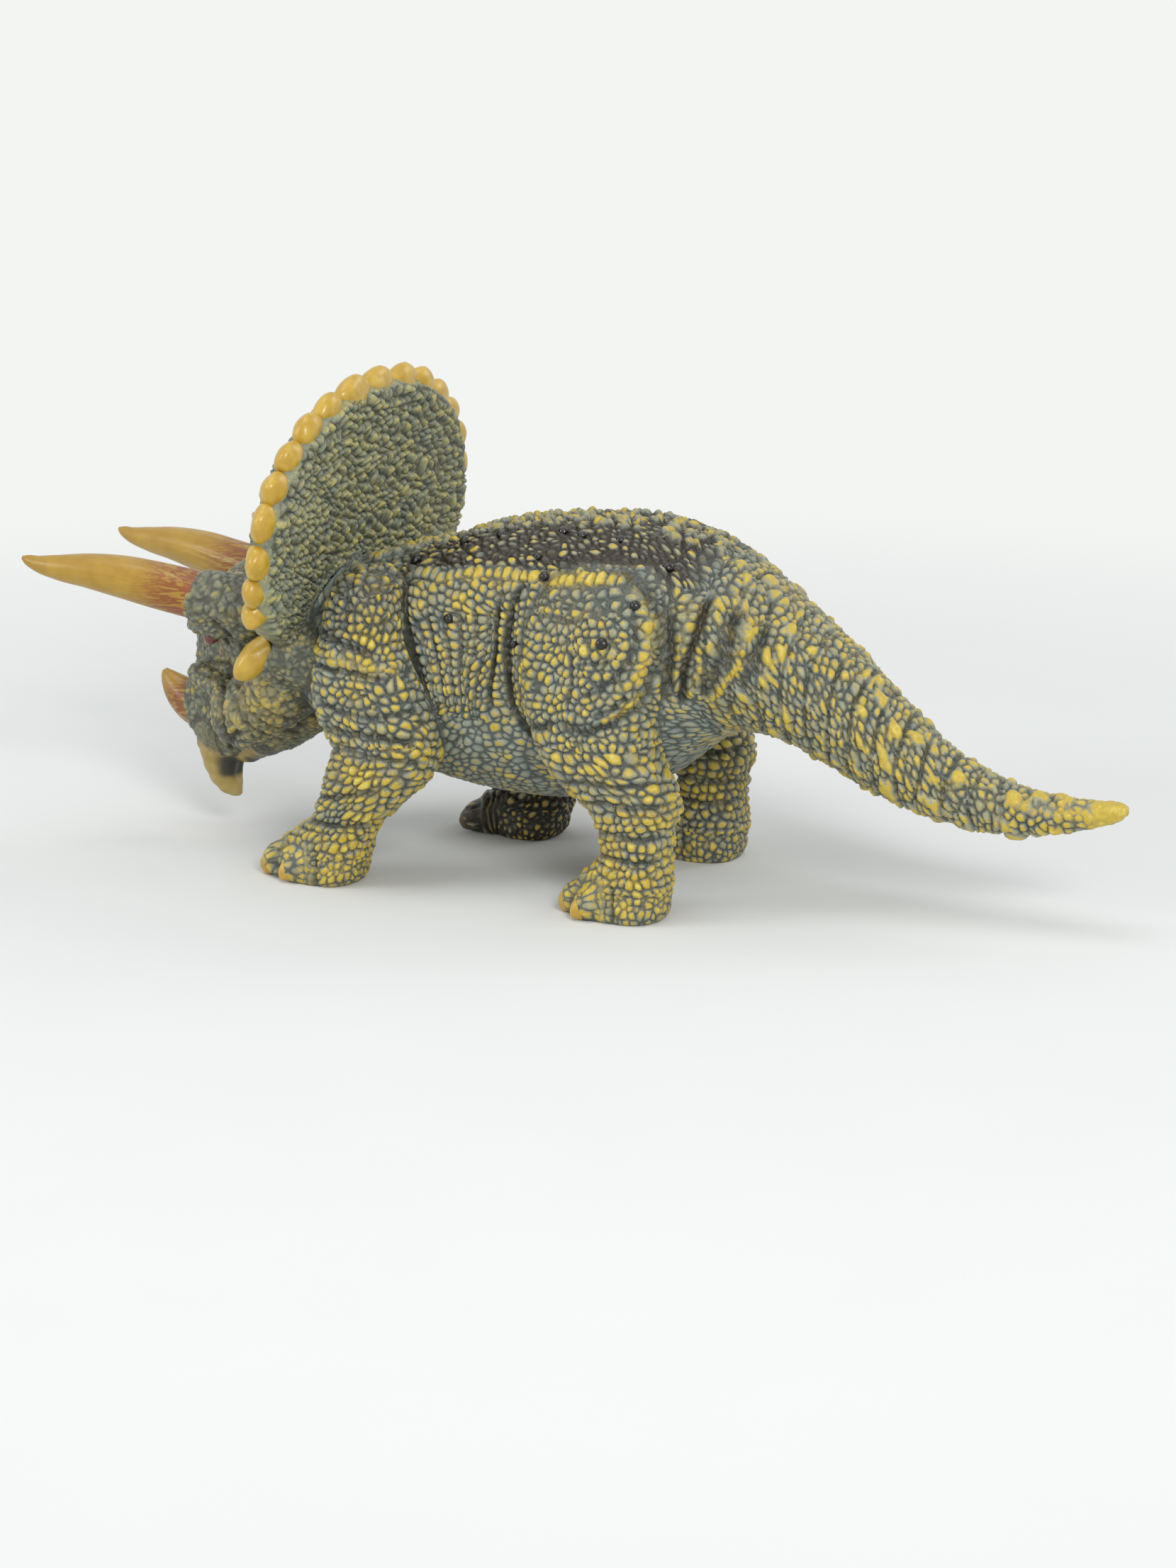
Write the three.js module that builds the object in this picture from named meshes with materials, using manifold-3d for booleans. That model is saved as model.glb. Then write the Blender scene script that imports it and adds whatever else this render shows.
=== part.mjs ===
// A moulded vinyl toy: a three-horned dinosaur with a neck frill, walking with its head lowered.
// It is cast in twelve pieces that plug into each other and are glued, and nothing on it moves.
// Sizes are in millimetres. The snout points along -X, the left side is -Y, +Z is up, and the
// soles stand on Z = 0.
import * as THREE from "three";
import { mergeVertices } from "three/addons/utils/BufferGeometryUtils.js";
import Module from "manifold-3d";

const wasm = await Module();
wasm.setup();

// Seams and plugs
const seam = 0.3; // gap all round between glued pieces
const plugLength = 4.5; // how far a plug reaches into its socket
const weldShare = 0.001; // of the seam: points nearer than this are one point

// Trunk, from the front of the neck to the tail seam
const backHeight = 47; // ground to the top of the back
const trunkFront = -32.5; // front of the neck, along X
const trunkLength = 56.5;
const trunkWidth = 33;
const neckPlugRadius = 5.5;
const neckPlugLevel = 28.6;

// Tail
const tailLength = 51;
const tailWidth = 24.4; // at the root
const tailPlugRadius = 5;

// Head, from the tip of the beak to the crown
const beakLevel = 5; // ground to the tip of the beak
const headHeight = 34;
const headDepth = 26; // face to nape
const headAhead = 11.5; // front of the neck to the middle of the head
const headWidth = 22.5;
const cheekRadius = 5.4; // flare of the cheek below the frill
const cheekSpread = 9.2; // middle line to the middle of the flare
const cheekBehind = 6.5; // middle of the head to the middle of the flare
const cheekRise = 21.1; // tip of the beak to the middle of the flare
const browRadius = 4.3; // swelling round the root of each brow horn
const browAhead = 2.6; // middle of the head to the middle of the swelling
const browRise = 28.8; // tip of the beak to the middle of the swelling

// Lower jaw
const jawLength = 13.5;
const jawWidth = 12.5; // at the back
const jawThickness = 6;
const jawBehind = 6.5; // middle of the head to the back of the jaw
const jawRise = 13.6; // tip of the beak to the back of the jaw

// Frill and the studs round its rim
const frillWidth = 55.4;
const frillRise = 19.8; // widest line to the top edge
const frillDrop = 15.5; // widest line to the lower edge
const frillAbove = 4.4; // crown of the head to the widest line
const frillBehind = 0.6; // back of the head to the rim at the widest line
const frillThickness = 3.4;
const frillLean = 8; // degrees that the frill leans back
const frillDish = 2.2; // how far its middle lies ahead of the rim
const frillSweep = 3.8; // how far its lower edge lies ahead of its widest line
const studLength = 4.6; // along the rim
const studHeight = 2.2; // out from the rim
const studThickness = 3.9;
const studCount = 19;
const studSweep = 232; // degrees of the rim that the studs take up
const cheekStudLength = 5.2;

// Horns
const browHornLength = 26.5;
const browHornThickness = 6.7;
const browHornSpread = 8.6; // middle line to the middle of the root
const browHornAhead = 2.1; // middle of the brow's swelling to the root
const noseHornLength = 7.2;
const noseHornThickness = 5.3;
const noseHornAhead = 11.2; // middle of the head to the root
const noseHornRise = 12.2; // tip of the beak to the root

// Legs
const legSpread = 16.6; // middle line to the middle of a sole
const legInset = 9; // middle line to the inner end of a leg, inside the trunk
const frontLegHeight = 41.3;
const frontLegGirth = 8.2; // half the length of the upper arm
const shoulderBehind = 11.9; // front of the neck to the shoulder
const frontStrideLeft = -0.6; // how far the foot is moved along X
const frontStrideRight = 12.6;
const hindLegHeight = 43;
const hindLegGirth = 10.3; // half the length of the thigh
const hipAhead = 13; // tail seam to the hip
const hindStrideLeft = 0;
const hindStrideRight = -3.2;

// Places along X and levels above the ground that follow from the sizes
const trunkRear = trunkFront + trunkLength;
const headPlace = trunkFront - headAhead;
const crownLevel = beakLevel + headHeight;
const cheekPlace = headPlace + cheekBehind;
const cheekLevel = beakLevel + cheekRise;
const browPlace = headPlace - browAhead;
const browLevel = beakLevel + browRise;
const frillPlace = headPlace + headDepth / 2 + frillBehind;
const frillLevel = crownLevel + frillAbove;

// Colours of the paint, as the base coat of each piece
const skinPaint = { color: 0x6f7a5c, roughness: 0.5, metalness: 0 };
const frillPaint = { color: 0x7a8158, roughness: 0.5, metalness: 0 };
const jawPaint = { color: 0x8d7d3a, roughness: 0.5, metalness: 0 };
const hornPaint = { color: 0xbf8a2c, roughness: 0.4, metalness: 0 };

// A closed mesh as a solid
function solidOf(geometry) {
  const bare = geometry.clone();
  for (const name of ["normal", "uv"]) bare.deleteAttribute(name);
  const merged = mergeVertices(bare, seam * weldShare);
  const vertProperties = new Float32Array(merged.attributes.position.array);
  const triVerts = new Uint32Array(merged.index.array);
  return new wasm.Manifold(new wasm.Mesh({ numProp: 3, vertProperties, triVerts }));
}

// A solid as a named mesh
function meshOf(name, solid, paint) {
  const { vertProperties, triVerts, numProp } = solid.getMesh();
  const places = new THREE.BufferAttribute(new Float32Array(vertProperties), numProp);
  const geometry = new THREE.BufferGeometry().setAttribute("position", places);
  geometry.setIndex(new THREE.BufferAttribute(new Uint32Array(triVerts), 1));
  geometry.computeVertexNormals();
  const mesh = new THREE.Mesh(geometry, new THREE.MeshStandardMaterial(paint));
  mesh.name = name;
  return mesh;
}

// Skins a row of rings, each with as many points as the others, and closes both ends
function skinOf(rings) {
  const count = rings[0].length;
  const points = rings.flat();
  const faces = [];
  for (let row = 0; row + 1 < rings.length; row++) {
    for (let i = 0; i < count; i++) {
      const here = row * count + i;
      const next = row * count + ((i + 1) % count);
      faces.push(here, next, next + count, here, next + count, here + count);
    }
  }
  for (const row of [0, rings.length - 1]) {
    const middle = new THREE.Vector3();
    for (const point of rings[row]) middle.addScaledVector(point, 1 / count);
    points.push(middle);
    for (let i = 0; i < count; i++) {
      const edge = [row * count + i, row * count + ((i + 1) % count)];
      if (row === 0) edge.reverse();
      faces.push(points.length - 1, ...edge);
    }
  }
  const geometry = new THREE.BufferGeometry().setFromPoints(points);
  geometry.setIndex(faces);
  return solidOf(geometry);
}

// Every value of a table at a share of its length, on smooth curves through its rows.
// The first column is that share.
function rowAt(rows, share) {
  let i = 0;
  while (i + 2 < rows.length && rows[i + 1][0] <= share) i++;
  const [a, b] = [rows[i], rows[i + 1]];
  const before = rows[Math.max(i - 1, 0)];
  const after = rows[Math.min(i + 2, rows.length - 1)];
  const span = b[0] - a[0];
  const t = (share - a[0]) / span;
  return a.map((start, column) => {
    const slopeIn = ((b[column] - before[column]) / (b[0] - before[0])) * span;
    const slopeOut = ((after[column] - start) / (after[0] - a[0])) * span;
    const climb = b[column] - start;
    const bend = slopeIn + slopeOut - 2 * climb;
    return start + t * (slopeIn + t * (climb - slopeIn - bend + t * bend));
  });
}

// A point on a rounded box outline: squareness 2 is an ellipse, and more is squarer
function roundedBox(angle, halfWidth, halfHeight, squareness) {
  const pull = (v) => Math.sign(v) * Math.abs(v) ** (2 / squareness);
  return [halfWidth * pull(Math.cos(angle)), halfHeight * pull(Math.sin(angle))];
}

const turnOf = (i, count) => (i / count) * 2 * Math.PI;

const plugSides = 20;

// A cylinder that runs from one point to another
function plugBetween(from, to, radius) {
  const along = to.clone().sub(from);
  const plug = new THREE.CylinderGeometry(radius, radius, along.length(), plugSides);
  const up = new THREE.Vector3(0, 1, 0);
  plug.applyQuaternion(new THREE.Quaternion().setFromUnitVectors(up, along.clone().normalize()));
  plug.translate(...from.clone().addScaledVector(along, 1 / 2).toArray());
  return solidOf(plug);
}

// Trunk and tail are rings across X. A row is [place along the piece, top, bottom, half width]:
// shares of its length, of the back's height twice, and of half its width. The trunk's rows end
// with a share of its squareness.
const trunkShares = [
  [0, 0.785, 0.383, 0.66, 0.84], [0.088, 0.837, 0.34, 0.77, 0.88], [0.186, 0.873, 0.296, 0.87, 0.98],
  [0.292, 0.909, 0.266, 0.945, 1.06], [0.4, 0.948, 0.245, 0.988, 1.12],
  [0.522, 0.981, 0.236, 1.006, 1.14], [0.646, 0.991, 0.245, 1.006, 1.14],
  [0.752, 1.004, 0.273, 0.982, 1.1], [0.832, 0.996, 0.319, 0.933, 1.06],
  [0.911, 0.968, 0.393, 0.848, 0.96], [1, 0.924, 0.47, 0.739, 0.85],
];
const tailShares = [
  [0, 0.924, 0.47, 1], [0.106, 0.839, 0.47, 0.852], [0.21, 0.764, 0.427, 0.721],
  [0.314, 0.668, 0.371, 0.607], [0.42, 0.562, 0.317, 0.5], [0.524, 0.468, 0.285, 0.393],
  [0.627, 0.415, 0.262, 0.303], [0.725, 0.379, 0.257, 0.246], [0.827, 0.362, 0.277, 0.189],
  [0.925, 0.368, 0.305, 0.143], [0.98, 0.371, 0.331, 0.1], [1, 0.362, 0.35, 0.04],
];
const trunkSquareness = 2.6;
const tailSquareness = 2.15;
const spineSides = 24;
const trunkRings = 18;
const tailRings = 16;

function spine({ rows, start, length, width, squareness, rings }, grow = 0) {
  const made = [];
  for (let r = 0; r <= rings; r++) {
    const [share, top, bottom, side, square = 1] = rowAt(rows, r / rings);
    const x = start - grow + share * (length + 2 * grow);
    const halfHeight = ((top - bottom) / 2) * backHeight + grow;
    const middle = ((top + bottom) / 2) * backHeight;
    const ring = [];
    for (let i = 0; i < spineSides; i++) {
      const halfWidth = (side * width) / 2 + grow;
      const [y, z] = roundedBox(turnOf(i, spineSides), halfWidth, halfHeight, squareness * square);
      ring.push(new THREE.Vector3(x, y, middle + z));
    }
    made.push(ring);
  }
  return skinOf(made);
}

// Folds of the skin are round beads or cuts along a line on the side of a piece
const foldSides = 8;
const foldSteps = 10;
const foldEndShare = 0.25; // size of a fold's ends, of its middle

function fold(places, radius) {
  const line = new THREE.CatmullRomCurve3(places);
  const { normals, binormals } = line.computeFrenetFrames(foldSteps);
  const made = [];
  for (let r = 0; r <= foldSteps; r++) {
    const middle = line.getPointAt(r / foldSteps);
    const swell = Math.sin((r / foldSteps) * Math.PI);
    const size = radius * (foldEndShare + (1 - foldEndShare) * swell);
    const ring = [];
    for (let i = 0; i < foldSides; i++) {
      const point = middle.clone().addScaledVector(normals[r], size * Math.cos(turnOf(i, foldSides)));
      ring.push(point.addScaledVector(binormals[r], size * Math.sin(turnOf(i, foldSides))));
    }
    made.push(ring);
  }
  return skinOf(made);
}

// How far out an outline is at a share of its half height
const outlineAt = (share, squareness) => (1 - Math.abs(share) ** squareness) ** (1 / squareness);

const flankFoldRadius = 1.4;
const flankFoldInset = 0.3; // how far a cut's middle line lies outside the skin
// Cuts down the flank, behind the shoulder and ahead of the thigh: rows of [place along the
// trunk, height], shares of its length and of the back's height
const flankFoldShares = [
  [[0.265, 0.82], [0.292, 0.72], [0.345, 0.6], [0.372, 0.5], [0.372, 0.39]],
  [[0.563, 0.86], [0.56, 0.76], [0.562, 0.64], [0.568, 0.54], [0.58, 0.44]],
];

function flankFold(shares, side) {
  const places = shares.map(([along, level]) => {
    const [, top, bottom, wide, square] = rowAt(trunkShares, along);
    const offCentre = (2 * level - top - bottom) / (top - bottom);
    const out = (wide * trunkWidth * outlineAt(offCentre, trunkSquareness * square)) / 2;
    const x = trunkFront + along * trunkLength;
    return new THREE.Vector3(x, side * (out + flankFoldInset), level * backHeight);
  });
  return fold(places, flankFoldRadius);
}

function trunk(grow = 0) {
  const shape = { rows: trunkShares, start: trunkFront, length: trunkLength, width: trunkWidth };
  let body = spine({ ...shape, squareness: trunkSquareness, rings: trunkRings }, grow);
  for (const shares of flankFoldShares) {
    for (const side of [-1, 1]) body = body.subtract(flankFold(shares, side));
  }
  const from = new THREE.Vector3(trunkFront - plugLength - grow, 0, neckPlugLevel);
  const to = new THREE.Vector3(trunkFront + plugLength, 0, neckPlugLevel);
  return body.add(plugBetween(from, to, neckPlugRadius + grow));
}

function tailPlug(grow = 0) {
  const level = ((tailShares[0][1] + tailShares[0][2]) / 2) * backHeight;
  const from = new THREE.Vector3(trunkRear - plugLength - grow, 0, level);
  const to = new THREE.Vector3(trunkRear + plugLength, 0, level);
  return plugBetween(from, to, tailPlugRadius + grow);
}

function tail() {
  const start = trunkRear + seam;
  const shape = { rows: tailShares, start, length: tailLength, width: tailWidth };
  return spine({ ...shape, squareness: tailSquareness, rings: tailRings }).add(tailPlug());
}

// Legs are level rings. A row is [height, forward place, outward place, half length, half
// width]: shares of the leg's height, its girth, the spread, its girth and its girth.
const frontLegShares = [
  [0, -0.93, 1.02, 0.74, 0.64], [0.018, -0.93, 1.02, 0.8, 0.68], [0.074, -0.85, 1.02, 0.76, 0.65],
  [0.127, -0.7, 1.02, 0.64, 0.58], [0.189, -0.46, 1.02, 0.57, 0.54], [0.289, -0.12, 1.02, 0.72, 0.6],
  [0.384, 0.24, 1.01, 0.87, 0.68], [0.468, 0.24, 0.97, 0.93, 0.74], [0.563, 0.06, 0.92, 1, 0.8],
  [0.659, -0.04, 0.89, 0.94, 0.8], [0.754, -0.1, 0.87, 0.81, 0.76], [0.85, -0.15, 0.84, 0.66, 0.68],
  [0.945, -0.17, 0.8, 0.51, 0.51], [1, -0.17, 0.78, 0.29, 0.29],
];
const hindLegShares = [
  [0, 0.26, 0.98, 0.6, 0.56], [0.014, 0.27, 0.98, 0.64, 0.59], [0.072, 0.4, 0.98, 0.57, 0.55],
  [0.131, 0.52, 0.98, 0.5, 0.49], [0.2, 0.56, 0.97, 0.46, 0.47], [0.281, 0.56, 0.97, 0.51, 0.49],
  [0.352, 0.52, 0.97, 0.6, 0.55], [0.432, 0.32, 0.96, 0.7, 0.6], [0.526, 0.06, 0.93, 0.84, 0.64],
  [0.619, -0.07, 0.89, 0.89, 0.66], [0.735, -0.07, 0.85, 0.94, 0.66],
  [0.851, -0.06, 0.8, 0.91, 0.62], [0.944, -0.05, 0.76, 0.74, 0.47], [1, 0.02, 0.7, 0.5, 0.26],
];
const legSides = 16;
const legRings = 17;
const legSquareness = 2.2;
const kneeShares = [0.36, 0.66]; // of the height: below the first the leg moves with its foot
const toeTurns = [-40, 0, 40]; // degrees away from straight ahead
const toeReachShare = 0.84; // of the sole's half length and half width
const toeSizeShares = [0.27, 0.25, 0.42]; // of the girth: half length, half width and rise
const toeSides = 10;
const toeRings = 6;

// Folds of the thigh, rows of [ahead of the hip, height]: shares of the girth and of the
// height. The cut runs round the thigh, and the beads lie inside it and below it.
const thighCutShares = [
  [0.4, 0.965], [0.6, 0.93], [0.72, 0.865], [0.74, 0.795],
  [0.68, 0.725], [0.48, 0.66], [0.24, 0.61], [0.02, 0.58],
];
const thighBeadShares = [
  [[0.42, 0.935], [0.55, 0.875], [0.57, 0.8], [0.49, 0.725], [0.31, 0.665], [0.1, 0.625]],
  [[0.66, 0.68], [0.5, 0.62], [0.28, 0.575], [0.08, 0.55]],
];
const thighFoldRadius = 1.1;
const thighFoldInset = 0.2; // how far a bead's middle line lies inside the skin

function thighFold(shares, inset, { rows, height, girth, place, side }) {
  const places = shares.map(([ahead, level]) => {
    const [, forward, outward, halfLength, halfWidth] = rowAt(rows, level);
    const out = halfWidth * girth * outlineAt((ahead - forward) / halfLength, legSquareness);
    const y = side * (outward * legSpread + out - inset);
    return new THREE.Vector3(place + ahead * girth, y, level * height);
  });
  return fold(places, thighFoldRadius);
}

// side is -1 on the left and 1 on the right
function leg({ rows, height, girth, place, stride, side, folded }, grow = 0) {
  const levelAt = (share) => {
    const [, forward, outward, halfLength, halfWidth] = rowAt(rows, share);
    const climb = (share - kneeShares[0]) / (kneeShares[1] - kneeShares[0]);
    const x = place + forward * girth + stride * (1 - THREE.MathUtils.smoothstep(climb, 0, 1));
    const y = side * outward * legSpread;
    return { x, y, halfLength: halfLength * girth, halfWidth: halfWidth * girth };
  };
  const made = [];
  for (let r = 0; r <= legRings; r++) {
    const share = r / legRings;
    const { x, y, halfLength, halfWidth } = levelAt(share);
    const z = share * (height + 2 * grow) - grow;
    const ring = [];
    for (let i = 0; i < legSides; i++) {
      const turn = turnOf(i, legSides);
      const [u, v] = roundedBox(turn, halfLength + grow, halfWidth + grow, legSquareness);
      ring.push(new THREE.Vector3(x + u, y + v, z));
    }
    made.push(ring);
  }
  let whole = skinOf(made);
  const sole = levelAt(0);
  const [toeLength, toeWidth, toeRise] = toeSizeShares.map((share) => share * girth);
  for (const degrees of toeTurns) {
    const turn = THREE.MathUtils.degToRad(degrees);
    const toe = new THREE.SphereGeometry(1, toeSides, toeRings);
    toe.rotateX(Math.PI / 2).scale(toeLength, toeWidth, toeRise).rotateZ(-turn);
    const ahead = sole.halfLength * toeReachShare * Math.cos(turn);
    const aside = sole.halfWidth * toeReachShare * Math.sin(turn);
    toe.translate(sole.x - ahead, sole.y + aside, 0);
    whole = whole.add(solidOf(toe));
  }
  if (folded && grow === 0) {
    const shape = { rows, height, girth, place, side };
    whole = whole.subtract(thighFold(thighCutShares, -thighFoldInset, shape));
    for (const shares of thighBeadShares) whole = whole.add(thighFold(shares, thighFoldInset, shape));
  }
  // Flat at the sole, and cut off square where it ends inside the trunk
  const block = new THREE.BoxGeometry(2 * height, height, 2 * height);
  block.translate(place, side * (legInset - grow + height / 2), height - grow);
  return whole.intersect(solidOf(block));
}

const frontLeg = {
  rows: frontLegShares,
  height: frontLegHeight,
  girth: frontLegGirth,
  place: trunkFront + shoulderBehind,
};
const hindLeg = {
  rows: hindLegShares,
  height: hindLegHeight,
  girth: hindLegGirth,
  place: trunkRear - hipAhead,
  folded: true,
};
const legs = {
  front_leg_left: { ...frontLeg, stride: frontStrideLeft, side: -1 },
  front_leg_right: { ...frontLeg, stride: frontStrideRight, side: 1 },
  hind_leg_left: { ...hindLeg, stride: hindStrideLeft, side: -1 },
  hind_leg_right: { ...hindLeg, stride: hindStrideRight, side: 1 },
};

// The head is level rings from the hooked beak up to the crown. A row is [height, face, back,
// half width]: shares of the head's height, its depth twice, and half its width.
const headShares = [
  [0, -0.292, -0.204, 0.07], [0.035, -0.346, -0.204, 0.14], [0.088, -0.388, -0.2, 0.21],
  [0.147, -0.415, -0.177, 0.28], [0.2, -0.462, -0.085, 0.39], [0.268, -0.5, 0.03, 0.51],
  [0.356, -0.496, 0.208, 0.68], [0.459, -0.462, 0.377, 0.84], [0.562, -0.454, 0.454, 0.95],
  [0.665, -0.469, 0.485, 1], [0.768, -0.408, 0.5, 1], [0.856, -0.315, 0.5, 0.96],
  [0.938, -0.215, 0.5, 0.8], [1, -0.058, 0.477, 0.45],
];
const headSides = 20;
const headRings = 16;
const headSquareness = 2.3;
const headTaperShare = 0.24; // how much narrower the face is than the middle of the head
const bumpSides = 12;
const bumpRings = 8;

function head(grow = 0) {
  const made = [];
  for (let r = 0; r <= headRings; r++) {
    const [share, face, back, side] = rowAt(headShares, r / headRings);
    const z = beakLevel - grow + share * (headHeight + 2 * grow);
    const x = headPlace + ((face + back) / 2) * headDepth;
    const halfLength = ((back - face) / 2) * headDepth + grow;
    const halfWidth = (side * headWidth) / 2 + grow;
    const ring = [];
    for (let i = 0; i < headSides; i++) {
      const [u, v] = roundedBox(turnOf(i, headSides), halfLength, halfWidth, headSquareness);
      const taper = 1 - headTaperShare * (1 - u / halfLength);
      ring.push(new THREE.Vector3(x + u, v * taper, z));
    }
    made.push(ring);
  }
  let whole = skinOf(made);
  for (const side of [-1, 1]) {
    const cheek = new THREE.SphereGeometry(cheekRadius + grow, bumpSides, bumpRings);
    cheek.translate(cheekPlace, side * cheekSpread, cheekLevel);
    const brow = new THREE.SphereGeometry(browRadius + grow, bumpSides, bumpRings);
    brow.translate(browPlace, side * browHornSpread, browLevel);
    whole = whole.add(solidOf(cheek)).add(solidOf(brow));
  }
  return whole;
}

const studSides = 8;
const studRings = 5;
const cheekStudShare = 0.75; // how far out on the cheek its stud sits

function cheekStud(side) {
  const stud = new THREE.SphereGeometry(cheekStudLength / 2, studSides, studRings);
  const out = side * (cheekSpread + cheekRadius * cheekStudShare);
  return solidOf(stud.translate(cheekPlace - cheekRadius / 2, out, cheekLevel));
}

// Horns and the lower jaw are stalks. A row is [place along it, ahead, outward, up, half
// width, half height]: shares of its length four times, and of half its thickness twice.
const browHornShares = [
  [0, 0, 0, 0, 0.94, 0.94], [0.12, 0.12, 0.02, 0.02, 0.93, 0.93], [0.27, 0.27, 0.045, 0.04, 0.9, 0.9],
  [0.45, 0.45, 0.075, 0.07, 0.8, 0.8], [0.63, 0.63, 0.105, 0.095, 0.64, 0.64],
  [0.8, 0.8, 0.125, 0.118, 0.46, 0.46], [0.93, 0.93, 0.137, 0.137, 0.28, 0.28],
  [1, 1, 0.14, 0.145, 0.1, 0.1],
];
const noseHornShares = [
  [0, 0, 0, 0, 0.9, 1], [0.3, 0.3, 0, 0.09, 0.82, 0.92], [0.55, 0.53, 0, 0.21, 0.62, 0.7],
  [0.8, 0.7, 0, 0.4, 0.36, 0.4], [1, 0.78, 0, 0.6, 0.12, 0.14],
];
const jawShares = [
  [0, 0, 0, 0, 0.7, 0.5], [0.12, 0.12, 0, -0.1, 0.95, 0.9], [0.35, 0.35, 0, -0.3, 1, 0.95],
  [0.6, 0.59, 0, -0.51, 0.82, 0.75], [0.82, 0.78, 0, -0.66, 0.5, 0.5], [1, 0.9, 0, -0.74, 0.2, 0.22],
];
const stalkSides = 12;
const stalkRings = 10;
const stalkSquareness = 2;

function stalk({ rows, length, width, thickness, place, spread, level }, grow = 0) {
  const side = Math.sign(spread);
  const pathAt = (share) => {
    const [, ahead, outward, up, wide, high] = rowAt(rows, share);
    const x = place + grow - ahead * (length + 2 * grow);
    const middle = new THREE.Vector3(x, spread + side * outward * length, level + up * length);
    return { middle, halfWidth: (wide * width) / 2 + grow, halfHeight: (high * thickness) / 2 + grow };
  };
  const made = [];
  for (let r = stalkRings; r >= 0; r--) {
    const { middle, halfWidth, halfHeight } = pathAt(r / stalkRings);
    const ahead = pathAt(Math.min(r + 1, stalkRings) / stalkRings).middle;
    const behind = pathAt(Math.max(r - 1, 0) / stalkRings).middle;
    const tilt = Math.atan2(ahead.z - behind.z, behind.x - ahead.x);
    const ring = [];
    for (let i = 0; i < stalkSides; i++) {
      const [v, w] = roundedBox(turnOf(i, stalkSides), halfWidth, halfHeight, stalkSquareness);
      ring.push(new THREE.Vector3(w * Math.sin(tilt), v, w * Math.cos(tilt)).add(middle));
    }
    made.push(ring);
  }
  return skinOf(made);
}

const hornPlugShare = 0.28; // radius of the plug, of the horn's thickness

// A horn has a round plug behind its root
function horn(shape, grow = 0) {
  const from = new THREE.Vector3(shape.place, shape.spread, shape.level);
  const to = from.clone();
  from.x -= shape.thickness * hornPlugShare;
  to.x += plugLength + grow;
  return stalk(shape, grow).add(plugBetween(from, to, shape.thickness * hornPlugShare + grow));
}

const browHorn = {
  rows: browHornShares,
  length: browHornLength,
  width: browHornThickness,
  thickness: browHornThickness,
  place: browPlace - browHornAhead,
  level: browLevel,
};
const horns = {
  brow_horn_left: { ...browHorn, spread: -browHornSpread },
  brow_horn_right: { ...browHorn, spread: browHornSpread },
  nose_horn: {
    rows: noseHornShares,
    length: noseHornLength,
    width: noseHornThickness,
    thickness: noseHornThickness,
    place: headPlace - noseHornAhead,
    spread: 0,
    level: beakLevel + noseHornRise,
  },
};
const jaw = {
  rows: jawShares,
  length: jawLength,
  width: jawWidth,
  thickness: jawThickness,
  place: headPlace + jawBehind,
  spread: 0,
  level: beakLevel + jawRise,
};

// The frill is a dished plate. Its rim is two half ovals that meet at its widest line, and a
// row is [size of the ring, how far ahead of the rim]: shares of the rim, and of the dish and
// the thickness. The rings run from the middle of the back, over the rim, to the front.
const frillShares = [
  [0.2, 0.96, 0], [0.5, 0.72, 0], [0.76, 0.38, 0], [0.93, 0.1, 0.04], [1, 0, 0.35],
  [1, 0, 0.65], [0.93, 0.1, 0.96], [0.76, 0.38, 1], [0.5, 0.72, 1], [0.2, 0.96, 1],
];
const rimSquareness = 1.9;
const lowerRimSquareness = 2.3;
const frillSides = 36;

// A place on the rim, counted round from the top: turn 0 is the middle of the top edge
function rimPoint(turn) {
  const upper = Math.cos(turn) > 0;
  const tall = upper ? frillRise : frillDrop;
  const [z, y] = roundedBox(turn, tall, frillWidth / 2, upper ? rimSquareness : lowerRimSquareness);
  return new THREE.Vector3(upper ? 0 : -frillSweep * (z / frillDrop) ** 2, y, z);
}

// Leans a point of the flat frill back and lifts it to its place
function setFrill(point) {
  point.applyAxisAngle(new THREE.Vector3(0, 1, 0), THREE.MathUtils.degToRad(frillLean));
  return point.add(new THREE.Vector3(frillPlace, 0, frillLevel));
}

function frill() {
  const rings = frillShares.map(([size, dish, through]) => {
    const ring = [];
    for (let i = 0; i < frillSides; i++) {
      const point = rimPoint(turnOf(i, frillSides)).multiplyScalar(size);
      point.x += frillThickness / 2 - dish * frillDish - through * frillThickness;
      ring.push(setFrill(point));
    }
    return ring;
  });
  let whole = skinOf(rings);
  for (let i = 0; i < studCount; i++) {
    const turn = THREE.MathUtils.degToRad(studSweep) * (i / (studCount - 1) - 1 / 2);
    const stud = new THREE.SphereGeometry(1, studSides, studRings);
    stud.scale(studThickness / 2, studLength / 2, studHeight);
    stud.rotateX(-turn);
    stud.translate(...setFrill(rimPoint(turn)).toArray());
    whole = whole.add(solidOf(stud));
  }
  return whole;
}

// Each piece is cut to leave a seam round what is plugged into it or set against it
function build() {
  const group = new THREE.Group();
  const add = (name, solid, paint) => group.add(meshOf(name, solid, paint));
  let body = trunk().subtract(tailPlug(seam));
  for (const [name, shape] of Object.entries(legs)) {
    add(name, leg(shape), skinPaint);
    body = body.subtract(leg(shape, seam));
  }
  add("trunk", body, skinPaint);
  add("tail", tail(), skinPaint);
  let skull = head().subtract(trunk(seam)).subtract(stalk(jaw, seam));
  for (const side of [-1, 1]) skull = skull.add(cheekStud(side));
  for (const [name, shape] of Object.entries(horns)) {
    add(name, horn(shape), hornPaint);
    skull = skull.subtract(horn(shape, seam));
  }
  add("head", skull, skinPaint);
  add("lower_jaw", stalk(jaw).subtract(trunk(seam)), jawPaint);
  add("frill", frill().subtract(trunk(seam)).subtract(head(seam)), frillPaint);
  return group;
}

export default build();
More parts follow.
